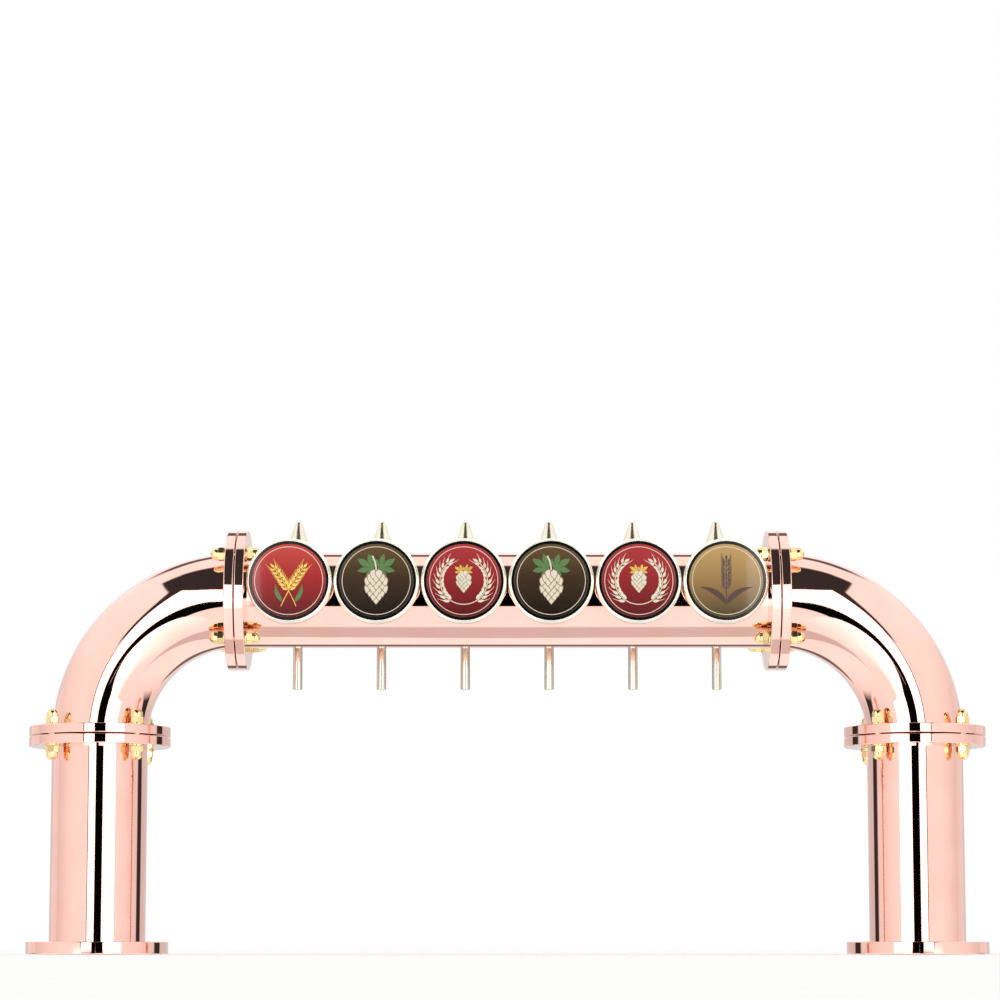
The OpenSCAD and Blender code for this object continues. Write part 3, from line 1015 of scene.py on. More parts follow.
PRINTS = (
    PrintDesign("red", (1,), ("CF4A40", "B02A2B", "641A1C"), Motif.CROSSED_EARS, GOLD_INK, GREEN_INK),
    PrintDesign("brown", (2, 4), ("6A5234", "453220", "22160C"), Motif.HOP_CONE, CREAM_INK, GREEN_INK),
    PrintDesign("crimson", (3, 5), ("B8393D", "A2292E", "661B1D"), Motif.WREATH, CREAM_INK, GOLD_INK),
    PrintDesign("gold", (6,), ("C9A468", "A98650", "5C4B2E"), Motif.TALL_EAR, UMBER_INK, UMBER_INK),
)


@dataclass
class Medallions:
    """The six medallions: cup, ring, bezel and printed disc, measured forward from the bridge's axis."""

    layout: Layout
    copies: PlacedCopies
    cup_back: float = 55 * MM
    cup_front: float = 66 * MM
    cup_r: float = 43 * MM
    cup_wall: float = 3 * MM
    cup_edge: float = 1 * MM
    boss_r: float = 14 * MM
    ring_front: float = 70 * MM
    ring_r: float = 42.95 * MM
    ledge_r: float = 36.5 * MM
    print_r: float = 39 * MM
    print_back: float = 67 * MM
    print_front: float = 70.8 * MM
    print_edge: float = 0.5 * MM
    bezel_r: float = 45 * MM
    opening_r: float = 42 * MM
    bezel_back: float = 58 * MM
    bezel_front: float = 72 * MM
    bezel_slope: float = 2.6 * MM
    bezel_flat: float = 0.7 * MM
    lip_gap: float = 0.02 * MM
    soft_edge: float = 0.4 * MM
    edge: float = 0.3 * MM
    fine_edge: float = 0.2 * MM
    line_r: float = 36.2 * MM
    line: float = 0.7 * MM
    ink: float = 0.15 * MM
    around: int = 128

    def spots(self, numbers: Sequence[int]) -> list[Spot]:
        """Returns the places of some medallions."""
        return [Spot(self.layout.medallion(number)) for number in numbers]

    def turned(self, section: Sequence[Corner], closed: bool = True) -> Shell:
        """Builds a shape turned about a medallion's axis."""
        return Shell().turn(outline(section, closed), even_angles(self.around))

    def cup(self) -> Shell:
        """Builds a cup with the boss that seats it on the bridge.

        Returns:
            The cup.
        """
        r, back, front, edge = self.cup_r, self.cup_back, self.cup_front, self.cup_edge
        inner, floor = r - self.cup_wall, back + self.cup_wall
        outside = [(0, back), (r, back, edge), (r, front)]
        shell = self.turned([*outside, (inner, front), (inner, floor), (0, floor)], closed=False)
        rise = self.layout.medallion_z - self.layout.bridge_z
        foot: Rim = []
        top: Rim = []
        for a in even_angles(self.around):
            way = toward(a).to_3d()
            seat = math.sqrt(self.layout.tube_r**2 - (rise + self.boss_r * way.y) ** 2) - SEAT_SINK
            foot.append((way * self.boss_r + Vector((0, 0, seat)), way))
            top.append((way * self.boss_r + Vector((0, 0, back + edge)), way))
        shell.band(foot, top)
        return shell

    def ring(self) -> Shell:
        """Builds the black ring that holds the print.

        Returns:
            The ring.
        """
        inner, back, front, seat = self.print_r + PLAY, self.cup_front, self.ring_front, self.print_back
        outside = [(self.ledge_r, back), (self.ring_r, back), (self.ring_r, front)]
        return self.turned([*outside, (inner, front, self.soft_edge), (inner, seat), (self.ledge_r, seat)])

    def bezel(self) -> Shell:
        """Builds the bezel, which slopes back from its front to its rim.

        Returns:
            The bezel.
        """
        inner, shoulder = self.cup_r + PLAY, self.bezel_front - self.bezel_slope
        under = self.ring_front + self.lip_gap
        rim = [(self.bezel_r, self.bezel_back, self.soft_edge), (self.bezel_r, shoulder, self.edge)]
        front = [
            (self.opening_r + self.bezel_flat, self.bezel_front, self.edge),
            (self.opening_r, self.bezel_front, self.fine_edge),
        ]
        lip = [(self.opening_r, under), (inner, under)]
        return self.turned([(inner, self.bezel_back), *rim, *front, *lip])

    def disc(self) -> Shell:
        """Builds a print's disc."""
        r, back, front = self.print_r, self.print_back, self.print_front
        return self.turned([(0, back), (r, back), (r, front, self.print_edge), (0, front)], closed=False)

    def edge_line(self) -> Shell:
        """Builds the thin printed line near a disc's edge."""
        inner, low, high = self.line_r - self.line, self.print_front - self.ink, self.print_front + self.ink
        return self.turned([(inner, low), (self.line_r, low), (self.line_r, high), (inner, high)])

    def build(self) -> None:
        """Builds and fits the medallions with their prints."""
        copies, everywhere = self.copies, self.spots(TAPS)
        parts = (
            ("nickel_medallion_cups", self.cup(), NICKEL, "plain_nickel", "medallion_cups"),
            ("nickel_medallion_bezels", self.bezel(), SATIN_NICKEL, "bright_nickel", "medallion_bezels"),
            ("black_medallion_rings", self.ring(), BLACK_RING, "black_ring", "medallion_rings"),
        )
        for name, shell, finish, slot, node in parts:
            fit(copies.make(name, shell, finish, everywhere), TOWER, slot, node)
        for design in PRINTS:
            slot, spots = f"print_{design.colour}", self.spots(design.numbers)
            name, middle = f"gloss_{design.colour}_print", self.layout.medallion_z
            finish = PrintedDisc(name, *design.shades, middle, self.print_r)
            fit(copies.make(f"{slot}_discs", self.disc(), finish, spots), TOWER, slot, f"medallion_{slot}")
            fit(copies.make(f"{slot}_lines", self.edge_line(), CREAM_INK, spots), TOWER, slot)
            PrintMotif(self, design).build()


@dataclass
class PrintMotif:
    """The raised inks of one print, drawn on the disc with X right and Y up."""

    medallions: Medallions
    design: PrintDesign
    stroke: float = 0.9 * MM
    least_stroke: float = 0.1 * MM
    layer: float = 0.004 * MM
    # Length, width and height of a kernel and of a bract, and the share at which each is widest
    kernel: tuple[float, float, float, float] = (8 * MM, 3.4 * MM, 0.5 * MM, 0.45)
    bract: tuple[float, float, float, float] = (11 * MM, 8 * MM, 0.12 * MM, 0.4)
    kernel_sink: float = 0.05 * MM
    kernel_aside: float = 1.2 * MM
    kernel_taper: float = 0.25
    splay: float = 0.42
    awn: float = 6.5 * MM
    awn_start: float = 0.9
    awn_curl: float = 0.35
    awn_widths: tuple[float, ...] = (0.7 * MM, 0.6 * MM, 0.5 * MM, 0.35 * MM, 0.2 * MM)
    tip_sink: float = 2 * MM
    tip_size: float = 0.85
    leaf_swell: float = 0.7
    # Turn and reach of each lobe, and the places along and across a lobe's side
    lobes: tuple[tuple[float, float], ...] = ((-1.5, 0.6), (-0.75, 0.85), (0, 1), (0.75, 0.85), (1.5, 0.6))
    lobe_side: tuple[tuple[float, float], ...] = ((0.3, 0.1), (0.5, 0.18), (0.66, 0.17), (0.8, 0.12))
    lobe_root: float = 0.08
    cone_rows: tuple[int, ...] = (1, 2, 3, 4, 3, 4, 3, 2)
    bract_pitch: float = 0.62
    bract_fan: float = 0.35
    bract_tilt: float = 0.064
    bract_step: float = 0.15 * MM
    bract_lift: float = 0.1 * MM
    bract_edge: float = 1.17
    kernels: list[Spot] = field(default_factory=list)
    bracts: list[Spot] = field(default_factory=list)
    bract_edges: list[Spot] = field(default_factory=list)
    strokes: Shell = field(default_factory=Shell)
    leaves: Shell = field(default_factory=Shell)
    drawn: int = 0

    def places(self) -> list[Matrix]:
        """Returns the faces of the discs that carry this print."""
        face = Matrix.Translation((0, 0, self.medallions.print_front))
        return [self.medallions.layout.medallion(number) @ face for number in self.design.numbers]

    def ink(self, shell: Shell, loop: Sequence[Vector]) -> None:
        """Lays one flat shape of ink on every disc, a hair above the shapes before it.

        Args:
            shell: The ink that takes it.
            loop: The shape, counter-clockwise.
        """
        self.drawn += 1
        thick = self.medallions.ink
        for place in self.places():
            shell.raised(loop, -thick, thick + self.layer * self.drawn, place)

    def spots(self, at: Vector, heading: float, size: float, lift: float, tilt: float = 0.0) -> list[Spot]:
        """Returns one drawn place on every disc.

        Args:
            at: Where the copy starts on the disc.
            heading: The way that its Y axis points.
            size: Its scale.
            lift: Its height above the disc.
            tilt: Angle by which its far end rises.

        Returns:
            The places.
        """
        turn = Matrix.Rotation(heading - UP, 4, "Z") @ Matrix.Rotation(tilt, 4, "X")
        local = Matrix.Translation((at.x, at.y, lift)) @ turn
        return [Spot(place @ local, size) for place in self.places()]

    def arc(
        self, start: Vector, heading: float, length: float, curl: float, steps: int = 14
    ) -> list[Vector]:
        """Works out a path that curls evenly to the left.

        Args:
            start: Where the path starts.
            heading: The way that it starts.
            length: Its length.
            curl: Angle that it curls over its length.
            steps: Steps along it.

        Returns:
            The path's points.
        """
        path = [start]
        for k in range(steps):
            path.append(path[-1] + toward(heading + curl * (k + 0.5) / steps) * length / steps)
        return path

    def ribbon(self, shell: Shell, path: Sequence[Vector], widths: Sequence[float]) -> None:
        """Draws a raised ribbon along a path.

        Args:
            shell: The ink that takes it.
            path: The ribbon's middle line.
            widths: Its width at each point.
        """
        left, right = [], []
        for k, (point, width) in enumerate(zip(path, widths)):
            step = path[min(k + 1, len(path) - 1)] - path[max(k - 1, 0)]
            across = right_of(step) * max(width, self.least_stroke) / 2
            right.append(point + across)
            left.append(point - across)
        self.ink(shell, right + left[::-1])

    def ear(
        self, start: Vector, heading: float, stalk: float, length: float, curl: float, pairs: int
    ) -> None:
        """Draws a barley ear: a stalk, pairs of kernels, a tip kernel and their awns.

        Args:
            start: Foot of the stalk.
            heading: The way that it starts.
            stalk: Bare length of the stalk.
            length: Length of the ear.
            curl: Angle that the whole curls to the left.
            pairs: Pairs of kernels.
        """
        steps, whole = 40, stalk + length
        path = self.arc(start, heading, whole, curl, steps)
        self.ribbon(self.strokes, path, [self.stroke] * len(path))
        for k in range(pairs):
            share = (stalk + length * k / pairs) / whole
            at, along = path[round(share * steps)], heading + curl * share
            size = 1 - self.kernel_taper * k / pairs
            for side in (-1, 1):
                lean = along + side * self.splay
                foot = at + toward(along + side * QUARTER) * self.kernel_aside
                self.kernels += self.spots(foot, lean, size, -self.kernel_sink)
                tip = foot + toward(lean) * self.kernel[0] * size * self.awn_start
                awn = self.arc(tip, lean, self.awn, -side * self.awn_curl, len(self.awn_widths) - 1)
                self.ribbon(self.strokes, awn, self.awn_widths)
        tip = path[-1] - toward(heading + curl) * self.tip_sink
        self.kernels += self.spots(tip, heading + curl, self.tip_size, -self.kernel_sink)

    def leaf(self, start: Vector, heading: float, length: float, width: float, curl: float) -> None:
        """Draws a long leaf that curls to the left.

        Args:
            start: The leaf's foot.
            heading: The way that it starts.
            length: Its length.
            width: Its greatest width.
            curl: Angle that it curls over its length.
        """
        path = self.arc(start, heading, length, curl)
        shares = [k / (len(path) - 1) for k in range(len(path))]
        self.ribbon(self.leaves, path, [width * math.sin(math.pi * s**self.leaf_swell) for s in shares])

    def lobed_leaf(self, start: Vector, heading: float, size: float) -> None:
        """Draws a leaf of pointed lobes.

        Args:
            start: Where the lobes meet.
            heading: The way that the middle lobe points.
            size: Length of the middle lobe.
        """
        loop = [start - toward(heading) * size * self.lobe_root]
        for turn, reach in self.lobes:
            along = toward(heading + turn) * size * reach
            across = Vector((-along.y, along.x))
            loop += [start + along * a - across * b for a, b in self.lobe_side]
            loop.append(start + along)
            loop += [start + along * a + across * b for a, b in reversed(self.lobe_side)]
        self.ink(self.leaves, loop)

    def hop_cone(self, foot: Vector, height: float, size: float) -> None:
        """Draws a hanging hop cone of overlapping bracts, each with a darker edge below it.

        Args:
            foot: The cone's lower tip.
            height: The cone's height.
            size: Scale of the bracts.
        """
        long, wide = self.bract[0] * size, self.bract[1] * size
        for row, count in enumerate(self.cone_rows):
            level = foot.y + long + (height - long) * row / (len(self.cone_rows) - 1)
            for k in range(count):
                aside = (k - (count - 1) / 2) * self.bract_pitch
                heading = -UP + aside * self.bract_fan
                at = Vector((foot.x + aside * wide, level))
                lift = self.bract_step * (k % 2)
                edge_at = at - toward(heading) * long * (self.bract_edge - 1) / 2
                self.bract_edges += self.spots(edge_at, heading, size, lift, self.bract_tilt)
                self.bracts += self.spots(at, heading, size, lift + self.bract_lift, self.bract_tilt)

    def draw_crossed_ears(self) -> None:
        """Draws two ears that cross, with a leaf at each foot."""
        for side in (-1, 1):
            start = Vector((-side * 8, -27)) * MM
            self.ear(start, UP - side * 0.42, stalk=20 * MM, length=29 * MM, curl=-side * 0.22, pairs=6)
            foot = start + Vector((side * 2, 5)) * MM
            self.leaf(foot, UP + side * 0.85, length=21 * MM, width=4.5 * MM, curl=-side * 0.9)

    def draw_hop_cone(self) -> None:
        """Draws a hop cone that hangs from its stalk, with a leaf on each side."""
        for side in (-1, 1):
            self.lobed_leaf(Vector((side * 4, 13)) * MM, UP - side, size=19 * MM)
        self.hop_cone(Vector((0, -25)) * MM, height=37 * MM, size=0.95)
        stalk = self.arc(Vector((0, 10)) * MM, UP, length=17 * MM, curl=0.5)
        self.ribbon(self.strokes, stalk, [1.6 * MM] * len(stalk))

    def draw_wreath(self) -> None:
        """Draws two ears in a wreath round a small hop cone."""
        for side in (-1, 1):
            start = Vector((-side * 2, -25)) * MM
            self.ear(start, UP - side * 1.65, stalk=16 * MM, length=50 * MM, curl=side * 2.65, pairs=9)
            self.lobed_leaf(Vector((side * 2, 10)) * MM, UP - side, size=9 * MM)
        self.hop_cone(Vector((0, -13)) * MM, height=24 * MM, size=0.62)

    def draw_tall_ear(self) -> None:
        """Draws one upright ear between two leaves."""
        for side in (-1, 1):
            self.leaf(Vector((0, -25)) * MM, UP - side * 0.5, length=35 * MM, width=6 * MM, curl=-side)
        self.ear(Vector((0, -27)) * MM, UP, stalk=18 * MM, length=32 * MM, curl=0.0, pairs=7)

    def seed(self, length: float, width: float, height: float, widest: float, steps: int = 6) -> Shell:
        """Builds a domed seed on z = 0 from the origin along Y, pointed at both ends.

        Args:
            length: Its length.
            width: Its width.
            height: Its height.
            widest: Share of the length at which it is widest.
            steps: Steps along it and across it.

        Returns:
            The seed.
        """
        power, half = math.log(0.5) / math.log(widest), width / 2
        least_share, least_rise = 0.03, 0.1
        rims = []
        for share in (step / steps for step in range(steps + 1)):
            turn = math.pi * share**power
            swell = math.sin(turn)
            slope = math.pi * math.cos(turn) * power * max(share, least_share) ** (power - 1)
            rim = []
            for k in range(steps + 1):
                across, rise = toward(math.pi * (1 - k / steps))
                point = Vector((half * swell * across, length * share, height * swell * rise))
                upward = length * half * max(rise, least_rise)
                rim.append((point, Vector((length * height * across, -height * half * slope, upward))))
            rims.append(rim)
        shell = Shell()
        for first, second in zip(rims, rims[1:]):
            shell.band(first, second)
        return shell

    def build(self) -> None:
        """Draws the motif, and builds and fits its inks."""
        drawings = {
            Motif.CROSSED_EARS: self.draw_crossed_ears,
            Motif.HOP_CONE: self.draw_hop_cone,
            Motif.WREATH: self.draw_wreath,
            Motif.TALL_EAR: self.draw_tall_ear,
        }
        drawings[self.design.motif]()
        slot, grain, leaf = f"print_{self.design.colour}", self.design.grain, self.design.leaf
        seeds = (
            ("kernels", self.kernels, self.kernel, grain, 1.0),
            ("bracts", self.bracts, self.bract, grain, 1.0),
            ("bract_edges", self.bract_edges, self.bract, TAN_INK, self.bract_edge),
        )
        for part, spots, sizes, finish, scale in seeds:
            if spots:
                copies = self.medallions.copies
                fit(copies.make(f"{slot}_{part}", self.seed(*sizes), finish, spots, scale), TOWER, slot)
        for part, shell, finish in (("strokes", self.strokes, grain), ("leaves", self.leaves, leaf)):
            if shell.faces:
                fit(shell.build(f"{slot}_{part}", finish), TOWER, slot)


@dataclass
class Taps:
    """The six taps, measured from their barrels' axes and the bridge's axis."""

    layout: Layout
    copies: PlacedCopies
    barrel_r: float = 13 * MM
    barrel_low: float = -14 * MM
    barrel_edge: float = 1.6 * MM
    shoulder: float = 8.5 * MM
    spigot_r: float = 9.5 * MM
    spigot_top: float = 12.5 * MM
    hub_r: float = 8 * MM
    hub_low: float = -20 * MM
    cavity_r: float = 10.6 * MM
    cavity_low: float = -6 * MM
    cavity_high: float = 4.5 * MM
    pocket_low: float = 7 * MM
    boss_r: float = 6 * MM
    boss_start: float = 11 * MM
    boss_end: float = 16 * MM
    guide_r: float = 2.55 * MM
    guide_end: float = 14.35 * MM
    neck_r: float = 8.5 * MM
    neck_start: float = -18.05 * MM
    neck_end: float = -9.7 * MM
    inlet_r: float = 6.2 * MM
    seat_r: float = 4.3 * MM
    seat: float = -12 * MM
    bonnet_r: float = 12.5 * MM
    bonnet_low: float = 8.7 * MM
    bonnet_top: float = 15.2 * MM
    bonnet_hold_deg: float = 30
    mouth_r: float = 7.1 * MM
    mouth_edge: float = 0.4 * MM
    spout_r: float = 5.25 * MM
    spout_bore_r: float = 3.75 * MM
    spout_low: float = -89 * MM
    spout_top: float = -11 * MM
    coupling_flats: float = 24 * MM
    coupling_start: float = -26 * MM
    coupling: float = 11.6 * MM
    coupling_lip: float = 1.6 * MM
    shank_r: float = 9 * MM
    saddle_r: float = 16 * MM
    saddle_face: float = -26.5 * MM
    pivot: float = 11 * MM
    ball_r: float = 5.5 * MM
    pocket_r: float = 5.58 * MM
    lever_r: float = 2.6 * MM
    lever_top: float = 36 * MM
    finger_r: float = 1.3 * MM
    finger_ball_r: float = 2 * MM
    handle_low: float = 24 * MM
    ferrule_r: float = 5 * MM
    ferrule: float = 3 * MM
    handle_r: float = 12.6 * MM
    widest_low: float = 64.07 * MM
    widest_high: float = 67.07 * MM
    belly_edge: float = 9 * MM
    tip_r: float = 4.5 * MM
    handle_top: float = 97 * MM
    soft_edge: float = 1.2 * MM
    edge: float = 0.8 * MM
    mild_edge: float = 0.6 * MM
    fine_edge: float = 0.5 * MM
    around: int = 96
    spout_around: int = 64
    lever_around: int = 48
    # The turn that points Z at the bartender
    rearward: Matrix = field(default_factory=lambda: Matrix.Rotation(-QUARTER, 4, "X"))

    def body(self) -> Shell:
        """Builds a tap's body: barrel, outlet hub, inlet neck and rear boss.

        Returns:
            The body.
        """
        bore, low, edge, soft = self.spout_r + PLAY, self.barrel_low, self.edge, self.soft_edge
        outlet = [(self.spout_bore_r, z) for z in (self.cavity_low, self.spout_top)]
        outlet += [(bore, z) for z in (self.spout_top, self.hub_low)]
        outside = [(self.hub_r, self.hub_low, edge), (self.hub_r, low, soft)]
        outside += [(self.barrel_r, low, self.barrel_edge), (self.barrel_r, self.shoulder, edge)]
        top = [(self.spigot_r, z) for z in (self.shoulder, self.spigot_top)]
        top += [(self.pocket_r, z) for z in (self.spigot_top, self.pocket_low)]
        cavity = [(self.cavity_r, z) for z in (self.cavity_high, self.cavity_low)]
        boss = [(0, self.guide_end), (self.guide_r, self.guide_end), (self.guide_r, self.boss_start)]
        boss += [(self.boss_r, self.boss_start), (self.boss_r, self.boss_end, soft), (0, self.boss_end)]
        start, end, seat = self.neck_start, self.neck_end, self.seat
        neck = [(self.inlet_r, start), (self.neck_r, start), (self.neck_r, end)]
        neck += [(self.seat_r, end), (self.seat_r, seat), (self.inlet_r, seat)]
        angles = even_angles(self.around)
        shell = Shell().turn(outline(outlet + outside + top + cavity, closed=True), angles)
        shell.turn(outline(boss), angles, self.rearward)
        return shell.turn(outline(neck, closed=True), angles, self.rearward)

    def bonnet(self) -> Shell:
        """Builds the bonnet that holds the lever's ball.

        Returns:
            The bonnet.
        """
        inner, under = self.spigot_r + PLAY, self.spigot_top + PLAY
        hold = toward(math.radians(self.bonnet_hold_deg)) * self.pocket_r
        section = [
            (inner, self.bonnet_low),
            (self.bonnet_r, self.bonnet_low, self.mild_edge),
            (self.bonnet_r, self.bonnet_top, self.soft_edge),
            (self.mouth_r, self.bonnet_top, self.mouth_edge),
            (hold.x, self.pivot + hold.y),
            (math.sqrt(self.pocket_r**2 - (under - self.pivot) ** 2), under),
            (inner, under),
        ]
        return Shell().turn(outline(section, closed=True), even_angles(self.around))

    def spout(self) -> Shell:
        """Builds a straight spout with a rounded mouth.

        Returns:
            The spout.
        """
        outside = [(self.spout_r, self.spout_low, self.mild_edge), (self.spout_r, self.spout_top)]
        bore = [(self.spout_bore_r, self.spout_top), (self.spout_bore_r, self.spout_low, self.mild_edge)]
        return Shell().turn(outline(outside + bore, closed=True), even_angles(self.spout_around))

    def coupling_nut(self) -> Shell:
        """Builds the hexagonal coupling nut, with the lip that draws the tap to its shank.

        Returns:
            The nut.
        """
        place = self.rearward @ Matrix.Translation((0, 0, self.coupling_start))
        bore_r, lip_r, lip = self.shank_r + PLAY, self.neck_r + PLAY, self.coupling - self.coupling_lip
        shell = Shell()
        angles = shell.hex_nut(self.coupling_flats, self.coupling, bore_r, lip_r, place)
        bore = [(lip_r, self.coupling), (lip_r, lip), (bore_r, lip), (bore_r, 0)]
        return shell.turn(outline(bore), angles, place)

    def saddle(self) -> Shell:
        """Builds the round saddle that seats a shank on the bridge.

        Returns:
            The saddle.
        """
        place, angles, layout = self.rearward, even_angles(self.around), self.layout
        outer_r, bore_r, shoulder = self.saddle_r, self.shank_r + CLEARANCE, self.saddle_face - self.edge

        def seat(r: float) -> list[Vector]:
            """Returns the curve in which a round wall meets the bridge."""
            sink = SEAT_SINK + layout.tap_y
            return [Vector((*p, math.sqrt(layout.tube_r**2 - p.y**2) - sink)) for p in circle(r, angles)]

        def wall(points: Sequence[Vector], sign: int) -> Rim:
            """Returns a rim whose normals point away from the axis, or towards it."""
            return [(p, Vector((p.x, p.y, 0)) * sign) for p in points]

        def level(r: float, z: float) -> list[Vector]:
            """Returns a level rim."""
            return [Vector((*p, z)) for p in circle(r, angles)]

        outer, inner, down = seat(outer_r), seat(bore_r), Vector((0, 0, -1))
        face = [(outer_r, shoulder), (outer_r, self.saddle_face, self.edge), (bore_r, self.saddle_face)]
        shell = Shell()
        shell.band(wall(outer, 1), wall(level(outer_r, shoulder), 1), place)
        shell.turn(outline(face), angles, place)
        shell.band(wall(level(bore_r, self.saddle_face), -1), wall(inner, -1), place)
        shell.band([(p, down) for p in inner], [(p, down) for p in outer], place)
        return shell

    def lever(self, place: Matrix) -> Shell:
        """Builds a ball lever with the finger that drives the valve.

        Args:
            place: The tap's place.

        Returns:
            The lever.
        """
        brow = math.acos(self.finger_r / self.finger_ball_r)
        tip = ball(0, self.finger_ball_r, -QUARTER, brow, steps=8)
        root, neck = math.acos(self.finger_r / self.ball_r), math.acos(self.lever_r / self.ball_r)
        middle = ball(self.pivot, self.ball_r, -root, neck, steps=20)
        finger = [(self.finger_r, tip[-1].end.y), (self.finger_r, middle[0].start.y)]
        top = self.lever_top
        rod = [(self.lever_r, middle[-1].end.y), (self.lever_r, top, self.fine_edge), (0, top)]
        profile = [*tip, *outline(finger), *middle, *outline(rod)]
        return Shell().turn(profile, even_angles(self.lever_around), place)

    def handle(self, place: Matrix) -> Shell:
        """Builds a bullet-shaped handle with its ferrule and lever bore.

        Args:
            place: The tap's place.

        Returns:
            The handle.
        """
        tip = self.handle_top - self.tip_r
        reach = tip - self.widest_high
        taper = math.atan2(self.handle_r, reach) - math.asin(self.tip_r / math.hypot(self.handle_r, reach))
        nose = ball(tip, self.tip_r, taper, QUARTER, steps=16)
        bore_r, depth = self.lever_r + PLAY, self.lever_top + CLEARANCE
        bore = [(0, depth), (bore_r, depth), (bore_r, self.handle_low)]
        ferrule = [
            (self.ferrule_r, self.handle_low, self.fine_edge),
            (self.ferrule_r, self.handle_low + self.ferrule, self.edge),
        ]
        belly = [(self.handle_r, z, self.belly_edge) for z in (self.widest_low, self.widest_high)]
        side = outline([*bore, *ferrule, *belly, tuple(nose[0].start)], arc_steps=10)
        return Shell().turn([*side, *nose], even_angles(self.around), place)

    def build(self) -> None:
        """Builds and fits the taps."""
        spots = [Spot(self.layout.tap(number)) for number in TAPS]
        parts = (
            ("nickel_tap_bodies", self.body(), [f"tap_body_{number}" for number in TAPS]),
            ("nickel_bonnets", self.bonnet(), ["tap_bonnets"]),
            ("nickel_spouts", self.spout(), ["tap_spouts"]),
            ("nickel_coupling_nuts", self.coupling_nut(), ["coupling_nuts"]),
            ("nickel_saddles", self.saddle(), ["shank_saddles"]),
        )
        for name, shell, nodes in parts:
            fit(self.copies.make(name, shell, NICKEL, spots), TOWER, "bright_nickel", *nodes)
        for number in TAPS:
            place, body = self.layout.tap(number), f"handle_{number}"
            lever = self.lever(place).build(f"steel_lever_{number}", STEEL)
            fit(lever, body, "stainless_steel", f"tap_lever_{number}")
            handle = self.handle(place).build(f"nickel_handle_{number}", BUFFED_NICKEL)
            fit(handle, body, "bright_nickel", f"tap_handle_{number}")


@dataclass
class InnerParts:
    """The pieces inside the tubes and taps, which keep their CAD shapes."""

    nodes: dict[str, bpy.types.Object]

    def finishes(self) -> dict[str, Finish]:
        """Lists what each kept node is made of.

        Returns:
            The finishes by node.
        """
        joints = {"flange_gaskets": GASKET, "flange_studs": BRASS}
        lines = {"beer_lines": HOSE, "line_fittings": FITTING}
        fixings = ("medallion_stems", "medallion_nuts", "tap_shanks", "shank_nuts")
        valves = [f"valve_stem_{number}" for number in TAPS]
        return joints | lines | dict.fromkeys(fixings, DULL_NICKEL) | dict.fromkeys(valves, STEEL)

    def build(self) -> None:
        """Dresses the kept nodes."""
        for name, finish in self.finishes().items():
            materials = self.nodes[name].data.materials
            materials.clear()
            materials.append(finish.material())
            LOG.info("%s keeps its shape, in %s", name, finish.name)


# Studio


@dataclass(frozen=True)
class Edge:
    """A soft edge of an area, along one way of looking."""

    axis: str
    outside: float
    inside: float


@dataclass(frozen=True)
class Area:
    """A part of the studio's surroundings that has its own brightness, within its edges."""

    level: float
    edges: tuple[Edge, ...]


FRONT = Edge("Y", 0, -0.1)
BELOW_HORIZON = Edge("Z", 0, -0.001)
AT_HORIZON = Edge("Z", 0.01, 0)
# What the polish sees, where 1 is the white of the studio and later areas cover earlier ones
SURROUNDINGS = (
    # The studio is duller behind the tower, and brighter high up and low down
    Area(0.75, (Edge("Y", -0.6, 0.6),)),
    Area(1.3, (Edge("steep", 0.1, 0.6),)),
    # The floor ahead, washed by the panels and brightest far out
    Area(
        1.75,
        (FRONT, Edge("aside", 0.083, 0.1), Edge("aside", 0.6, 0.45), Edge("Z", -0.8, -0.4), BELOW_HORIZON),
    ),
    Area(2.2, (FRONT, Edge("aside", 0.55, 0.45), Edge("Z", -0.34, -0.3), BELOW_HORIZON)),
    # The dark opening that the camera looks through, and the dark way that leads up to it
    Area(0.0, (FRONT, Edge("aside", 0.34, 0.33), Edge("Z", -0.001, 0), Edge("Z", 0.31, 0.3))),
    Area(0.0, (FRONT, Edge("aside", 0.085, 0.081), Edge("Z", -0.355, -0.335), AT_HORIZON)),
    Area(
        0.0,
        (FRONT, Edge("aside", 0.083, 0.09), Edge("aside", 0.31, 0.3), Edge("Z", -0.06, -0.05), AT_HORIZON),
    ),
    # The dark ceiling ahead
    Area(0.04, (FRONT, Edge("aside", 0.39, 0.37), Edge("Z", 0.28, 0.3))),
    Area(0.04, (FRONT, Edge("lean", 0.56, 0.54), Edge("Z", 0.6, 0.62))),
    # Dark gaps behind: low, high and on both sides
    Area(0.2, (Edge("Y", 0.7, 0.75), Edge("Z", -0.63, -0.6), Edge("Z", -0.37, -0.4))),
    Area(
        0.15,
        (Edge("Y", 0.5, 0.55), Edge("aside", 0.45, 0.35), Edge("Z", 0.58, 0.61), Edge("Z", 0.8, 0.77)),
    ),
    Area(
        0.04,
        (
            Edge("aside", 0.76, 0.78),
            Edge("aside", 0.93, 0.91),
            Edge("Y", 0.0, 0.1),
            Edge("Z", -0.42, -0.3),
            Edge("Z", 0.24, 0.16),
        ),
    ),
    # The floor below, in the tower's own shade
    Area(0.77, (Edge("slant", -0.3, -0.24), Edge("swerve", 0.38, 0.34), Edge("Z", -0.4, -0.6))),
)


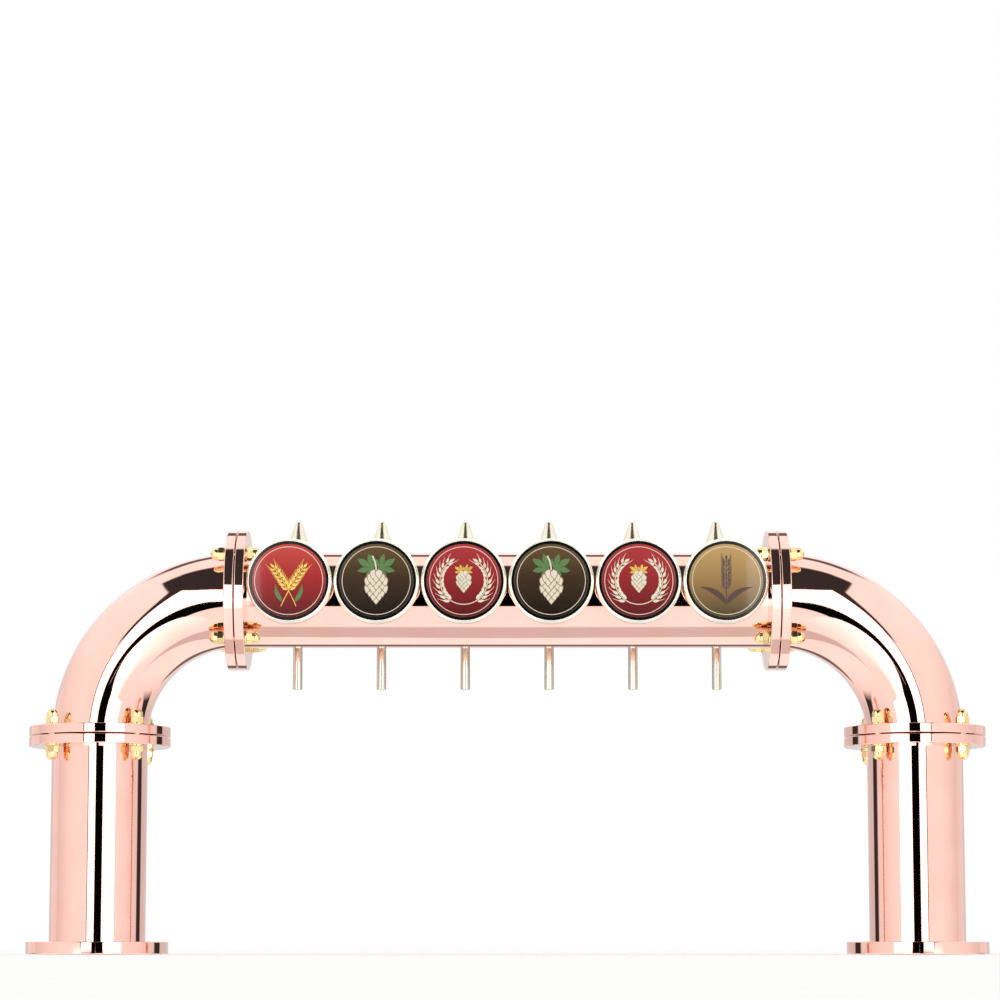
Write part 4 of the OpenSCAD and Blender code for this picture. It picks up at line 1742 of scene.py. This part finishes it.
@dataclass(frozen=True)
class LightPanel:
    """A white panel that stands upright between two feet and faces the left of its run."""

    name: str
    start: tuple[float, float]
    end: tuple[float, float]
    high: float
    level: float = 2.3

    def build(self) -> None:
        """Stands the panel up as a lamp that only polished surfaces see."""
        start, end = Vector(self.start), Vector(self.end)
        data = bpy.data.lights.new(self.name, "AREA")
        data.shape = "RECTANGLE"
        data.size = (end - start).length
        data.size_y = self.high
        data.energy = self.level * math.pi * data.size * data.size_y
        lamp = add_object(self.name, data)
        lamp.location = (*(start + end) / 2, self.high / 2)
        facing = -right_of(end - start).to_3d()
        lamp.rotation_euler = facing.to_track_quat("-Z", "Y").to_euler()
        lamp.visible_camera = False
        lamp.visible_diffuse = False


@dataclass
class Studio:
    """A white studio with a dark opening in front, as a polished tower is photographed in."""

    camera_at: tuple[float, float, float] = (-0.0079, -3.2, 0.006)
    camera_up_deg: float = 6.5
    lens_mm: float = 108.0
    shift: float = 0.1066
    floor_r: float = 9.0
    floor_drop: float = 0.5 * MM
    floor_around: int = 64
    polish_level: float = 1.2
    card_level: float = 0.95
    card_high: float = 0.42
    card_x: float = 0.9
    card_y: tuple[float, float] = (0.1, 0.46)
    opening: float = 0.52
    panel_far: float = -3.3
    panel_near: tuple[float, float] = (0.82, -1.23)
    panel_high: float = 1.4
    slant: float = 0.25
    swerve: float = 1.1

    def camera(self) -> None:
        """Sets the camera low in front of the tower."""
        data = bpy.data.cameras.new("studio_camera")
        data.lens = self.lens_mm
        data.shift_y = self.shift
        camera = add_object("studio_camera", data)
        camera.location = self.camera_at
        camera.rotation_euler = (QUARTER + math.radians(self.camera_up_deg), 0, 0)
        bpy.context.scene.camera = camera

    def floor(self) -> None:
        """Lays the pale floor, which the polish sees as part of its surroundings."""
        loop = circle(self.floor_r, even_angles(self.floor_around))
        floor = Shell().plate([loop], -self.floor_drop, 1).build("studio_floor", VINYL)
        floor.visible_glossy = False

    def panels(self) -> None:
        """Stands a lit panel on each side of the opening."""
        (near_x, near_y), far, high = self.panel_near, self.panel_far, self.panel_high
        LightPanel("panel_left", (-near_x, near_y), (-self.opening, far), high).build()
        LightPanel("panel_right", (self.opening, far), (near_x, near_y), high).build()

    def cards(self) -> None:
        """Stands a white card on each side of the tower, which only the polish sees."""
        finish = LitAcrylic("lit_white_acrylic", self.card_level)
        (front, back), high = self.card_y, self.card_high
        loop = [Vector(corner) for corner in ((front, 0), (back, 0), (back, high), (front, high))]
        for side, sign in SIDES.items():
            upright = Matrix(((0, 0, -sign, sign * self.card_x), (1, 0, 0, 0), (0, 1, 0, 0), (0, 0, 0, 1)))
            card = Shell().plate([loop], 0, 1, upright).build(f"card_{side}", finish)
            card.visible_camera = False
            card.visible_diffuse = False
            card.visible_shadow = False

    def world(self) -> None:
        """Lights the scene evenly, and lets polished metal see the studio's darker and brighter areas."""
        scene = bpy.context.scene
        scene.view_settings.view_transform = "Standard"
        scene.world = bpy.data.worlds.new("studio")
        scene.world.use_nodes = True
        tree = scene.world.node_tree
        way = add_node(tree, "ShaderNodeTexCoord").outputs["Generated"]
        axes = dict(add_node(tree, "ShaderNodeSeparateXYZ", links={"Vector": way}).outputs.items())
        # Ways of looking: to either side, up or down, aside per step up, and back plus a share of aside
        measures = (
            ("aside", {"operation": "ABSOLUTE"}, {0: "X"}),
            ("steep", {"operation": "ABSOLUTE"}, {0: "Z"}),
            ("lean", {"operation": "DIVIDE"}, {0: "aside", 1: "Z"}),
            ("slant", {"operation": "MULTIPLY_ADD", 1: self.slant}, {0: "aside", 2: "Y"}),
            ("swerve", {"operation": "MULTIPLY_ADD", 1: self.swerve}, {0: "aside", 2: "Y"}),
        )
        for name, settings, parts in measures:
            sources = {number: axes[part] for number, part in parts.items()}
            axes[name] = add_node(tree, "ShaderNodeMath", settings, sources)
        level = add_node(tree, "ShaderNodeValue")
        level.outputs["Value"].default_value = self.polish_level
        for area in SURROUNDINGS:
            share = None
            for edge in area.edges:
                ends = {"From Min": edge.outside, "From Max": edge.inside}
                step = add_node(tree, "ShaderNodeMapRange", ends, {"Value": axes[edge.axis]})
                if share is None:
                    share = step
                else:
                    both = {0: share, 1: step}
                    share = add_node(tree, "ShaderNodeMath", {"operation": "MULTIPLY"}, both)
            level = add_node(tree, "ShaderNodeMix", {"B": area.level}, {"Factor": share, "A": level})
        light = add_node(tree, "ShaderNodeLightPath").outputs
        rays = {0: light["Is Glossy Ray"], 1: light["Is Transmission Ray"]}
        mirrored = add_node(tree, "ShaderNodeMath", {"operation": "MAXIMUM"}, rays)
        strength = add_node(tree, "ShaderNodeMix", {"A": 1.0}, {"Factor": mirrored, "B": level})
        background = tree.nodes["Background"].inputs
        background["Color"].default_value = srgb("FFFFFF")
        tree.links.new(strength.outputs["Result"], background["Strength"])

    def build(self) -> None:
        """Sets up camera, floor and light."""
        self.camera()
        self.floor()
        self.panels()
        self.cards()
        self.world()


def main() -> None:
    """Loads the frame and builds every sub-assembly."""
    logging.basicConfig(level=logging.INFO, format="%(message)s")
    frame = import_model()
    layout = Layout.from_frame()
    Studio().build()
    copies = PlacedCopies()
    PipeFrame(layout).build()
    JointFasteners(layout, copies).build()
    Medallions(layout, copies).build()
    Taps(layout, copies).build()
    InnerParts(frame["nodes"]).build()


if __name__ == "__main__":
    main()
